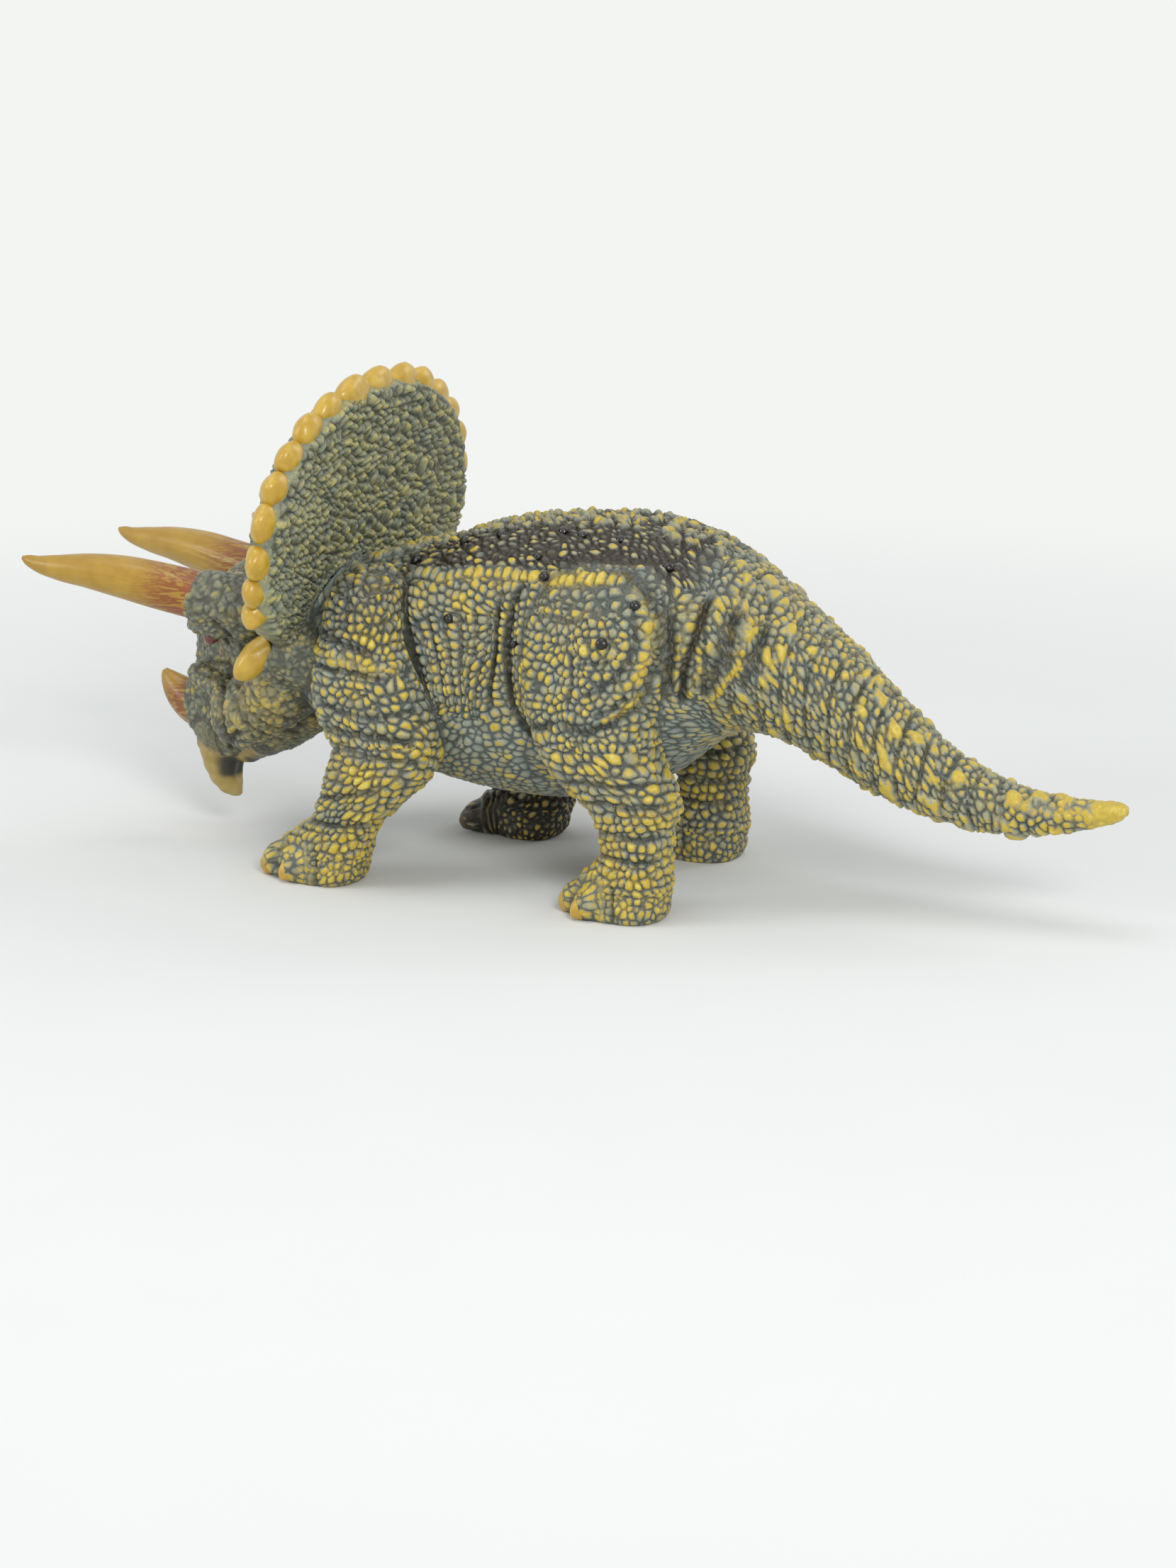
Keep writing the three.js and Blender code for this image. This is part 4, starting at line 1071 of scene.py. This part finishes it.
STUD_COUNT = 19
STUD_SWEEP = math.radians(233.5)  # how far round the rim they reach
STUD_SIDES, STUD_RINGS = 32, 18
STUD_FOOT = -0.45  # where a knob begins, as a share of its height
STUD_TIP = 0.03  # size of its last ring
STUD_AHEAD = 0.35  # how far ahead of the middle of the rim the studs sit
STUD_LENGTHS = 0.53  # half length of a stud along the rim, as a share of the step to the next
RIM_INSET = 0.1  # how far inside the rim they stand


def bump_form(place, out, across, radii, seed, sharp, steep, lean=(0, 0, 0)):
    """A smooth knob with its foot sunk in; radii are across, along and out."""
    out, across = unit(out), unit(across)
    along_rim = np.cross(out, across)
    cos, sin = turns_round(STUD_SIDES)
    rings = []
    for h in np.linspace(STUD_FOOT, 1, STUD_RINGS):
        size = max((1 - max(h, 0) ** sharp) ** steep, STUD_TIP)
        shape = 1 + 0.1 * drift(cos, sin, np.full(STUD_SIDES, h * 1.5), 0.8, seed)
        middle = np.array(place) + out * h * radii[2] + np.array(lean) * max(h, 0)
        sides = np.outer(cos * size * shape * radii[0], across)
        rings.append(middle + sides + np.outer(sin * size * shape * radii[1], along_rim))
    return loft(rings)


def frill_studs():
    """Blunt pointed knobs that stand almost shoulder to shoulder on the rim."""
    places, outs = [], []
    for i in range(STUD_COUNT):
        turn = STUD_SWEEP * (i / (STUD_COUNT - 1) - 0.5)
        upper = math.cos(turn) > 0
        power = FRILL_POWERS[0 if upper else 1]
        pull = np.array([math.sin(turn), math.cos(turn)])
        size = np.array([FRILL_HALF, FRILL_RISE if upper else FRILL_DROP])
        spot = size * np.sign(pull) * np.abs(pull) ** (2 / power)
        out = unit(np.sign(spot) * np.abs(spot / size) ** (power - 1) / size)
        behind = frill_middle(1.0, spot[1]) - STUD_AHEAD
        places.append(frill_to_space(behind, *(spot - out * RIM_INSET)))
        outs.append(frill_to_space(0, *out) - frill_to_space(0, 0, 0))
    steps = np.linalg.norm(np.diff(places, axis=0), axis=1)
    thick = frill_to_space(1, 0, 0) - frill_to_space(0, 0, 0)
    forms = []
    for i, (place, out) in enumerate(zip(places, outs)):
        reach = STUD_LENGTHS * (steps[max(i - 1, 0)] + steps[min(i, len(steps) - 1)]) / 2
        size, slant = (mix(-1, 1, float(chance(seed, np.array(i)))) for seed in (151, 153))
        radii = (1.66 + 0.1 * size, reach * (1 + 0.05 * slant), 2.2 + 0.1 * size)
        lean = np.cross(out, thick) * 0.35 * slant + thick * 0.2
        forms.append(bump_form(place, out, thick, radii, 160 + i, 1.6, 0.62, lean))
    return gathered("frill_studs", forms)


def cheek_studs():
    return gathered("cheek_studs", [
        bump_form(
            (-38.9, side * 14.4, 27.6), (-0.5, side * 0.7, -0.55), (0.35, side * 0.2, 0.9),
            (2.35, 2.2, 3.2), 190, 1.8, 0.6,
        )
        for side in SIDES
    ])


# Half height of each nail
NAIL_SHAPES = {"front": (1.6, 2.1, 1.8), "hind": (1.7, 1.9, 1.7)}
NAIL_DROP = 0.15  # below the tip of its toe


def back_of_stride(name, x, out, z):
    """A point drawn on the left leg, placed on the named leg."""
    rows, height, stride, side = LEGS[name][:4]
    return np.array([x + stride * fall(*KNEE, z / height), side * out, z])


def toenails(name):
    toes, ankle = LEGS[name][4:]
    forms = []
    for k, (((tx, ty, tz), radius), tall) in enumerate(zip(toes, NAIL_SHAPES[name.split("_")[0]])):
        place = back_of_stride(name, tx, ty, tz - NAIL_DROP)
        out = unit(place - back_of_stride(name, *ankle[:2], tz - NAIL_DROP))
        lift = np.array([0, 0, 1.0]) - 0.45 * out
        radii = (tall, tall * 0.62, radius * 0.5 + 0.32)
        form, faces = bump_form(place + out * radius * 0.5, out + (0, 0, 0.3), lift, radii, 200 + k, 2.2, 0.5)
        forms.append(([[x, y, max(z, 0.05)] for x, y, z in form], faces))
    return gathered(f"toenails_{name}", forms)


def touch(points, target):
    """The vertex of the skin nearest to a place."""
    return int(((points - np.array(target)) ** 2).sum(1).argmin())


EYE_PLACE = (-49.1, 9.6, 26.4)
EYE_SIZE = (0.95, 1.15, 0.95)
EYE_DEPTH = 0.35  # how far its middle is sunk


def eyes(points, normals):
    forms = []
    for side in SIDES:
        at = touch(points, (EYE_PLACE[0], side * EYE_PLACE[1], EYE_PLACE[2]))
        middle = points[at] - normals[at] * EYE_DEPTH
        forms.append(bump_form(middle, (-0.25, side, -0.1), (0, 0, 1), EYE_SIZE, 210, 2.0, 0.5))
    return gathered("eyes", forms)


# Drops of black paint on the near flank and the back: place and radius
DOTS = (
    (-18, -9, 41.6, 0.7), (-11.7, -7.3, 44.2, 0.7), (-6.4, -7.5, 45.5, 0.65), (1, -12.3, 43.9, 0.6),
    (3.2, -15, 42.2, 0.65), (2.3, -7.6, 46.7, 0.65), (5.3, -8.3, 46.4, 0.65), (10.7, -8.5, 46.2, 0.65),
    (18.2, -10, 43.9, 0.7), (16.9, -17.5, 40, 0.65), (13.5, -20.4, 35.5, 0.75), (-0.5, -16.9, 33.5, 0.5),
    (-9.7, -16.3, 35.8, 0.65),
)
DOT_HEIGHT = 0.5
DOT_SINK = 0.15
LEVEL_REACH = 1.5  # how far round a dot the skin is averaged for its tilt


def paint_dots(points, normals):
    forms = []
    for k, (*place, radius) in enumerate(DOTS):
        at = touch(points, place)
        gap = np.linalg.norm(points - points[at], axis=1)
        out = unit(normals[gap < LEVEL_REACH].sum(0))
        top = ((points[gap < radius] - points[at]) @ out).max()
        middle = points[at] + out * (top - DOT_SINK)
        radii = (radius, radius * 0.95, DOT_HEIGHT)
        forms.append(bump_form(middle, out, frame_along(out)[1], radii, 220 + k, 2.2, 0.5))
    return gathered("paint_dots", forms)


# Paint

def srgb(red, green, blue):
    """A colour as it is seen, given as Blender wants it."""
    shares = (value / 255 for value in (red, green, blue))
    return *(((v + 0.055) / 1.055) ** 2.4 if v > 0.04045 else v / 12.92 for v in shares), 1


class Tree:
    """A node tree with short words for the nodes that are used most."""

    def __init__(self, tree):
        self.nodes, self.links = tree.nodes, tree.links

    def put(self, socket, value):
        if isinstance(value, bpy.types.NodeSocket):
            self.links.new(value, socket)
        elif value is not None:
            socket.default_value = value

    def node(self, kind, inputs=(), **settings):
        made = self.nodes.new(kind)
        for key, value in settings.items():
            setattr(made, key, value)
        for key, value in dict(inputs).items():
            self.put(made.inputs[key], value)
        return made

    def math(self, operation, a, b, clamp=False):
        inputs = {0: a, 1: b}
        return self.node("ShaderNodeMath", inputs, operation=operation, use_clamp=clamp).outputs[0]

    def times(self, a, b):
        return self.math("MULTIPLY", a, b)

    def plus(self, a, b):
        return self.math("ADD", a, b)

    def minus(self, a, b):
        return self.math("SUBTRACT", a, b)

    def blend(self, share, a, b):
        made = self.node("ShaderNodeMix", data_type="RGBA")
        for socket, value in (("Factor", share), (6, a), (7, b)):
            self.put(made.inputs[socket], value)
        return made.outputs[2]

    def steps(self, value, *ends):
        """Value eased from its low to its high end, and from 0 to 1 unless two more are given."""
        inputs = {0: value, **dict(enumerate(ends, 1))}
        return self.node("ShaderNodeMapRange", inputs, interpolation_type="SMOOTHSTEP").outputs[0]

    def noise(self, place, size, detail=2.0, rough=0.5):
        """Noise whose lumps are about size metres across."""
        inputs = {"Scale": 1 / size, "Detail": detail, "Roughness": rough, "Vector": place}
        return self.node("ShaderNodeTexNoise", inputs).outputs["Fac"]

    def attribute(self, name):
        return self.node("ShaderNodeAttribute", attribute_name=name).outputs["Fac"]

    def seen(self):
        """1 for what the camera sees, also in glossy surfaces and through clear ones."""
        rays = self.node("ShaderNodeLightPath").outputs
        direct = self.math("MAXIMUM", rays["Is Camera Ray"], rays["Is Glossy Ray"])
        return self.math("MAXIMUM", direct, rays["Is Transmission Ray"])


def fresh_tree(holder):
    """The emptied node tree of a material or a world."""
    holder.use_nodes = True
    holder.node_tree.nodes.clear()
    return Tree(holder.node_tree)


SOCKETS = {"c": "NodeSocketColor", "f": "NodeSocketFloat", "v": "NodeSocketVector"}


def group(name, inputs, outputs):
    """An empty node group with named sockets, and its input and output nodes."""
    made = bpy.data.node_groups.new(name, "ShaderNodeTree")
    for side, sockets in (("INPUT", inputs), ("OUTPUT", outputs)):
        for key, kind in sockets.items():
            made.interface.new_socket(name=key, in_out=side, socket_type=SOCKETS[kind])
    tree = Tree(made)
    return made, tree, tree.node("NodeGroupInput").outputs, tree.node("NodeGroupOutput").inputs


def vinyl_paint():
    """Base coat with painted highlight on raised tops and painted shade in the cracks, a dark wash, and ochre
    dragged over the scales with a dry brush.
    """
    made, t, given, out = group(
        "vinyl_paint",
        {"Place": "v", "Relief": "f", "Gold": "f", "Wash_And_Shade": "f", "Base": "c", "Base Light": "c",
         "Ochre": "c", "Pale": "c", "Dark": "c"},
        {"Color": "c", "Roughness": "f", "Height": "f"},
    )
    place = given["Place"]
    relief = t.times(given["Relief"], given["Relief"])
    wide = t.noise(place, 0.004, 3)
    speck = t.noise(place, 0.0005, 5, 0.7)
    patch = t.noise(place, 0.0018, 2)
    # Painted highlight: raised scale tops lean toward Base Light, and half of the lean is a random tone.
    light = t.plus(t.times(wide, 0.5), t.times(relief, 0.5))
    base = t.blend(t.steps(light, 0.25, 0.75), given["Base"], given["Base Light"])
    # Painted shade: low relief between the scales darkens toward Dark, and so do the wrinkles, rings, grooves
    # and creases that lower it.
    crack_shade = t.minus(1.0, t.steps(relief, 0.0, 0.2))
    base = t.blend(t.times(crack_shade, 0.55), base, given["Dark"])

    # The brush reaches a place where it shows more than the bar, which falls with Gold
    shown = t.plus(t.plus(t.times(relief, 0.5), speck), t.times(patch, 0.7))
    over = t.minus(shown, t.minus(1.6, t.times(given["Gold"], 0.8)))
    allowed = t.steps(given["Gold"], 0.0, 0.2)
    haze = t.times(t.times(t.steps(over, -0.35, -0.02), allowed), 0.34)
    gold = t.times(t.steps(over, -0.05, 0.09), allowed)
    # Painted highlight: the brushed tops that show most, mostly the highest ones, turn from Ochre to Pale.
    ochre = t.blend(t.steps(over, 0.12, 0.5), given["Ochre"], given["Pale"])
    colour = t.blend(gold, t.blend(haze, base, given["Ochre"]), ochre)
    bare = t.plus(relief, t.times(speck, 0.5))
    # Dark brown wash and painted shade: the dark mask darkens toward Dark, less on the highest tops.
    washed_and_shaded = t.math("MULTIPLY", given["Wash_And_Shade"], t.steps(bare, 1.45, 0.5), clamp=True)
    t.put(out["Color"], t.blend(washed_and_shaded, colour, given["Dark"]))
    t.put(out["Roughness"], t.steps(speck, 0.25, 0.75, 0.28, 0.48))
    pores = {"Vector": place, "Scale": 2600.0}
    fine = t.node("ShaderNodeTexVoronoi", pores, feature="DISTANCE_TO_EDGE").outputs["Distance"]
    t.put(out["Height"], t.plus(t.times(speck, 0.7), t.times(t.steps(fine, 0.0, 0.25), 0.3)))
    return made


def new_material(name, **constants):
    """A Principled material: itself, its tree, its shader and the place on the object."""
    made = bpy.data.materials.new(name)
    t = fresh_tree(made)
    shader = t.node("ShaderNodeBsdfPrincipled", constants)
    t.put(t.node("ShaderNodeOutputMaterial").inputs["Surface"], shader.outputs[0])
    return made, t, shader, t.node("ShaderNodeTexCoord").outputs["Object"]


def surface(t, shader, colour, roughness, height, depth, strength):
    """Links the colour and the fine relief, which is depth metres deep."""
    bump = t.node("ShaderNodeBump", {"Height": height, "Distance": depth, "Strength": strength})
    for key, value in (("Base Color", colour), ("Roughness", roughness), ("Normal", bump.outputs[0])):
        t.put(shader.inputs[key], value)


# Base Light is the slate as lit, a painted highlight for raised tops; Pale is the ochre as lit, a painted
# highlight for the highest tops.
VINYL = {
    "Base": srgb(103, 113, 107), "Base Light": srgb(147, 156, 146), "Ochre": srgb(191, 164, 51),
    "Pale": srgb(211, 193, 94), "Dark": srgb(46, 39, 26),
}


def skin_material(name, paint, **changes):
    made, t, shader, place = new_material(name, **{"Specular IOR Level": 0.5})
    fields = {key: t.attribute(key.lower()) for key in ("Relief", "Gold", "Wash_And_Shade")}
    used = t.node("ShaderNodeGroup", node_tree=paint)
    for key, value in {"Place": place, **fields, **VINYL, **changes}.items():
        t.put(used.inputs[key], value)
    surface(t, shader, *(used.outputs[key] for key in ("Color", "Roughness", "Height")), 0.00006, 0.8)
    return made


def horn_material(name, ochre, light, stain, stain_end, foot=0.0):
    """Glossy ochre, with a red-brown wash dragged lengthwise over the root.

    The wash ends where along is stain_end, and the skin's own colour shows up to foot.
    """
    made, t, shader, place = new_material(name, **{"Coat Weight": 0.15, "Coat Roughness": 0.3})
    stretched = t.node("ShaderNodeMapping", {"Vector": place, "Scale": (0.12, 1, 1)}).outputs[0]
    streak = t.noise(stretched, 0.00045, 4, 0.6)
    cloud = t.noise(place, 0.003, 2)
    root = t.attribute("along")
    middling = t.minus(streak, 0.5)
    colour = t.blend(t.steps(cloud, 0.3, 0.7), ochre, light)
    colour = t.blend(t.times(t.steps(streak, 0.6, 0.45), 0.22), colour, srgb(150, 118, 44))
    near_root = t.steps(t.plus(root, t.times(middling, 0.5)), stain_end, stain_end * 0.6)
    stained = t.times(near_root, t.steps(streak, 0.44, 0.5, 0.12, 1.0))
    colour = t.blend(t.times(stained, 0.8), colour, stain)
    if foot > 0:
        bare = t.steps(t.plus(root, t.times(middling, 0.16)), foot, foot - 0.03)
        colour = t.blend(bare, colour, srgb(112, 106, 82))
    surface(t, shader, colour, t.steps(streak, 0.3, 0.7, 0.3, 0.45), streak, 0.00005, 0.6)
    return made


def beak_material():
    """Ochre that fades into the face, with a dark grey-green inner side."""
    made, t, shader, place = new_material("beak_ochre", **{"Coat Weight": 0.1, "Coat Roughness": 0.3})
    cloud = t.noise(place, 0.0016, 3)
    speck = t.noise(place, 0.0004, 4, 0.6)
    shade = t.blend(t.steps(cloud, 0.35, 0.65), srgb(160, 136, 68), srgb(172, 150, 92))
    shade = t.blend(t.times(t.steps(speck, 0.55, 0.7), 0.4), shade, srgb(120, 104, 60))
    shade = t.blend(t.attribute("relief"), shade, srgb(54, 54, 43))
    face = t.blend(t.steps(speck, 0.4, 0.6), srgb(96, 98, 82), srgb(128, 124, 90))
    shade = t.blend(t.attribute("gold"), face, shade)
    surface(t, shader, shade, t.steps(speck, 0.3, 0.7, 0.38, 0.52), cloud, 0.0002, 0.6)
    return made


def glossy_material(name, colour, light, dirt, roughness):
    """Thick glossy paint with a little dirt in random specks."""
    made, t, shader, place = new_material(name, **{"Coat Weight": 0.25, "Coat Roughness": 0.2})
    cloud = t.noise(place, 0.0016, 3)
    speck = t.noise(place, 0.0005, 3, 0.6)
    shade = t.blend(t.steps(cloud, 0.35, 0.65), colour, light)
    shade = t.blend(t.times(t.steps(speck, 0.62, 0.75), 0.5), shade, dirt)
    rough = t.steps(speck, 0.3, 0.7, roughness, roughness + 0.12)
    surface(t, shader, shade, rough, cloud, 0.00015, 0.5)
    return made


# The pieces

skin_data = finer(*sculpt())
skin = finish_skin(place_of(skin_data), normals_of(skin_data))
moved = skin.p + skin.n * skin.height[:, None]
moved[:, 2] = np.maximum(moved[:, 2], 0)
skin_data.vertices.foreach_set("co", (moved * MM + ORIGIN).astype(np.float32).ravel())
skin_data.update()
points, normals = place_of(skin_data), normals_of(skin_data)
face_label = skin.label[faces_of(skin_data)].min(1)

paint = vinyl_paint()
hide = skin_material("painted_skin", paint)
# The frill and the face change these lit shades too: their Base Light and Pale are painted highlights.
frill_hide = skin_material("painted_frill", paint, **{
    "Base Light": srgb(144, 152, 134), "Ochre": srgb(178, 168, 98), "Pale": srgb(200, 190, 122),
})
face_hide = skin_material("painted_face", paint, **{
    "Base": srgb(102, 108, 94), "Base Light": srgb(140, 144, 124),
    "Ochre": srgb(176, 154, 74), "Pale": srgb(190, 176, 110),
})
horn_paint, nose_paint = (
    horn_material(name, *(srgb(*colour) for colour in colours), *ends)
    for name, colours, ends in (
        ("horn_ochre", ((166, 128, 36), (178, 142, 48), (126, 48, 28)), (0.5, 0.15)),
        ("nose_horn_ochre", ((160, 122, 40), (174, 138, 56), (118, 54, 32)), (0.8,)),
    )
)
beak_paint = beak_material()
stud_paint, nail_paint, shaded_nail_paint, eye_paint, dot_paint = (
    glossy_material(name, *(srgb(*colour) for colour in colours), roughness)
    for name, roughness, *colours in (
        ("stud_yellow", 0.3, (184, 146, 42), (198, 164, 62), (140, 112, 50)),
        ("nail_ochre", 0.36, (184, 146, 52), (198, 162, 68), (140, 108, 48)),
        # A darker copy of the nail paint: painted shade for the far front foot.
        ("nail_painted_shade", 0.4, (96, 78, 42), (110, 90, 50), (40, 32, 22)),
        ("eye_brown", 0.2, (96, 44, 36), (120, 58, 46), (30, 20, 18)),
        ("dot_black", 0.2, (10, 9, 8), (16, 14, 12), (6, 6, 6)),
    )
)


def settle(piece, material, slot, *nodes):
    """Paints a piece and ties it to the frame."""
    piece.data.materials.clear()
    piece.data.materials.append(material)
    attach(piece, "root")
    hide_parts(*nodes)


# Name, paint and slot of each piece of skin that isn't a plain one, and its node if that differs
SKINS = {
    "head": ("head_skin", face_hide, "skin", "head"),
    "lower_jaw": ("lower_jaw_skin", face_hide, "skin", "lower_jaw"),
    "frill": ("frill_skin", frill_hide, "frill", "frill"),
    "beak": ("beak", beak_paint, "horn", "head"),
    "jaw_tip": ("lower_beak", beak_paint, "horn", "lower_jaw"),
}
for k, label in enumerate(LABELS):
    name, material, slot, node = SKINS.get(label, (f"{label}_skin", hide, "skin", label))
    settle(cut_out(name, skin_data, face_label == k, skin), material, slot, node)
bpy.data.meshes.remove(skin_data)

settle(frill_studs(), stud_paint, "frill", "frill")
settle(cheek_studs(), stud_paint, "horn", "head")
settle(horn("brow_horn_left_horn", BROW_HORN, -1, 1.0, 230), horn_paint, "horn", "brow_horn_left")
settle(horn("brow_horn_right_horn", BROW_HORN, 1, 1.0, 240), horn_paint, "horn", "brow_horn_right")
settle(horn("nose_horn_horn", NOSE_HORN, 1, 0.88, 250), nose_paint, "horn", "nose_horn")
settle(eyes(points, normals), eye_paint, "horn", "head")
settle(paint_dots(points, normals), dot_paint, "horn", "trunk")
for name in LEGS:
    # The far front foot's nails take the darker copy of the nail paint, painted shade.
    nail = shaded_nail_paint if name == "front_leg_right" else nail_paint
    settle(toenails(name), nail, "horn", name)


# Room, lights and camera, in metres

BACKDROP = (0.896, 0.91, 0.896, 1)  # as the camera sees it
FLOOR_SHADES = (0.79, 0.805, 0.795, 1), (0.81, 0.825, 0.815, 1)
FLOOR_RADIUS = 3.0
FLOOR_CORNERS = 64
FLOOR_FADE = (0.11, 0.30)  # where the floor fades into the backdrop
WORLD_COLOUR = (0.97, 0.985, 1, 1)
WORLD_STRENGTH = 0.58


def place_in_scene(name, data):
    made = bpy.data.objects.new(name, data)
    bpy.context.scene.collection.objects.link(made)
    return made


def floor():
    cos, sin = turns_round(FLOOR_CORNERS)
    ring = np.stack([cos, sin, np.zeros(FLOOR_CORNERS)], 1) * FLOOR_RADIUS
    data = bpy.data.meshes.new("floor")
    data.from_pydata(ring.tolist(), [], [tuple(range(FLOOR_CORNERS))])
    material = bpy.data.materials.new("floor_pale")
    t = fresh_tree(material)
    place = t.node("ShaderNodeTexCoord").outputs["Object"]
    apart = t.node("ShaderNodeVectorMath", {0: place}, operation="LENGTH").outputs["Value"]
    shade = t.node("ShaderNodeBsdfDiffuse", {"Color": t.blend(t.noise(place, 0.02, 2), *FLOOR_SHADES)})
    glow = t.node("ShaderNodeEmission", {"Color": BACKDROP})
    far = t.times(t.steps(apart, *FLOOR_FADE), t.seen())
    mixed = t.node("ShaderNodeMixShader", {0: far, 1: shade.outputs[0], 2: glow.outputs[0]})
    t.put(t.node("ShaderNodeOutputMaterial").inputs["Surface"], mixed.outputs[0])
    data.materials.append(material)
    place_in_scene("floor", data)


def world():
    made = bpy.data.worlds.new("studio")
    bpy.context.scene.world = made
    t = fresh_tree(made)
    dim = t.node("ShaderNodeBackground", {"Color": WORLD_COLOUR, "Strength": WORLD_STRENGTH})
    bright = t.node("ShaderNodeBackground", {"Color": BACKDROP})
    mixed = t.node("ShaderNodeMixShader", {0: t.seen(), 1: dim.outputs[0], 2: bright.outputs[0]})
    t.put(t.node("ShaderNodeOutputWorld").inputs["Surface"], mixed.outputs[0])


def lamp(name, place, aim_height, size, power):
    """A round soft lamp that looks at a point over the middle of the floor."""
    light = bpy.data.lights.new(name, "AREA")
    light.shape = "DISK"
    light.size = size
    light.energy = power
    made = place_in_scene(name, light)
    made.location = place
    aim = Vector((0, 0, aim_height)) - Vector(place)
    made.rotation_euler = aim.to_track_quat("-Z", "Y").to_euler()


# The camera's place is in drawn mm, its angles in degrees and its lens in mm
CAMERA_PLACE = (213.6, -461.1, 135.5)
CAMERA_TURN, CAMERA_PITCH, CAMERA_ROLL = (math.radians(a) for a in (24.6008, 13.6697, -0.3169))
CAMERA_LENS = 92.25
SENSOR = 36


def camera():
    a, e, r = CAMERA_TURN, CAMERA_PITCH, CAMERA_ROLL
    right = np.array([math.cos(a), math.sin(a), 0])
    up = np.array([-math.sin(a) * math.sin(e), math.cos(a) * math.sin(e), math.cos(e)])
    back = np.cross(right, up)
    right, up = math.cos(r) * right - math.sin(r) * up, math.sin(r) * right + math.cos(r) * up
    data = bpy.data.cameras.new("camera")
    data.lens = CAMERA_LENS
    data.sensor_width = SENSOR
    data.clip_start = 0.01
    made = place_in_scene("camera", data)
    place = np.array(CAMERA_PLACE) * MM + ORIGIN
    made.matrix_world = Matrix([*zip(right, up, back, place), (0, 0, 0, 1)])
    bpy.context.scene.camera = made


floor()
world()
lamp("overhead", (-0.1, -0.15, 0.75), 0.02, 0.5, 1.25)
lamp("front_left", (-0.6, -0.5, 0.35), 0.03, 0.3, 1.2)
lamp("front_right", (0.5, -0.65, 0.45), 0.03, 0.26, 3.65)
lamp("behind", (0.5, 0.6, 0.5), 0.03, 0.4, 1.0)
camera()
bpy.context.scene.view_settings.view_transform = "Standard"
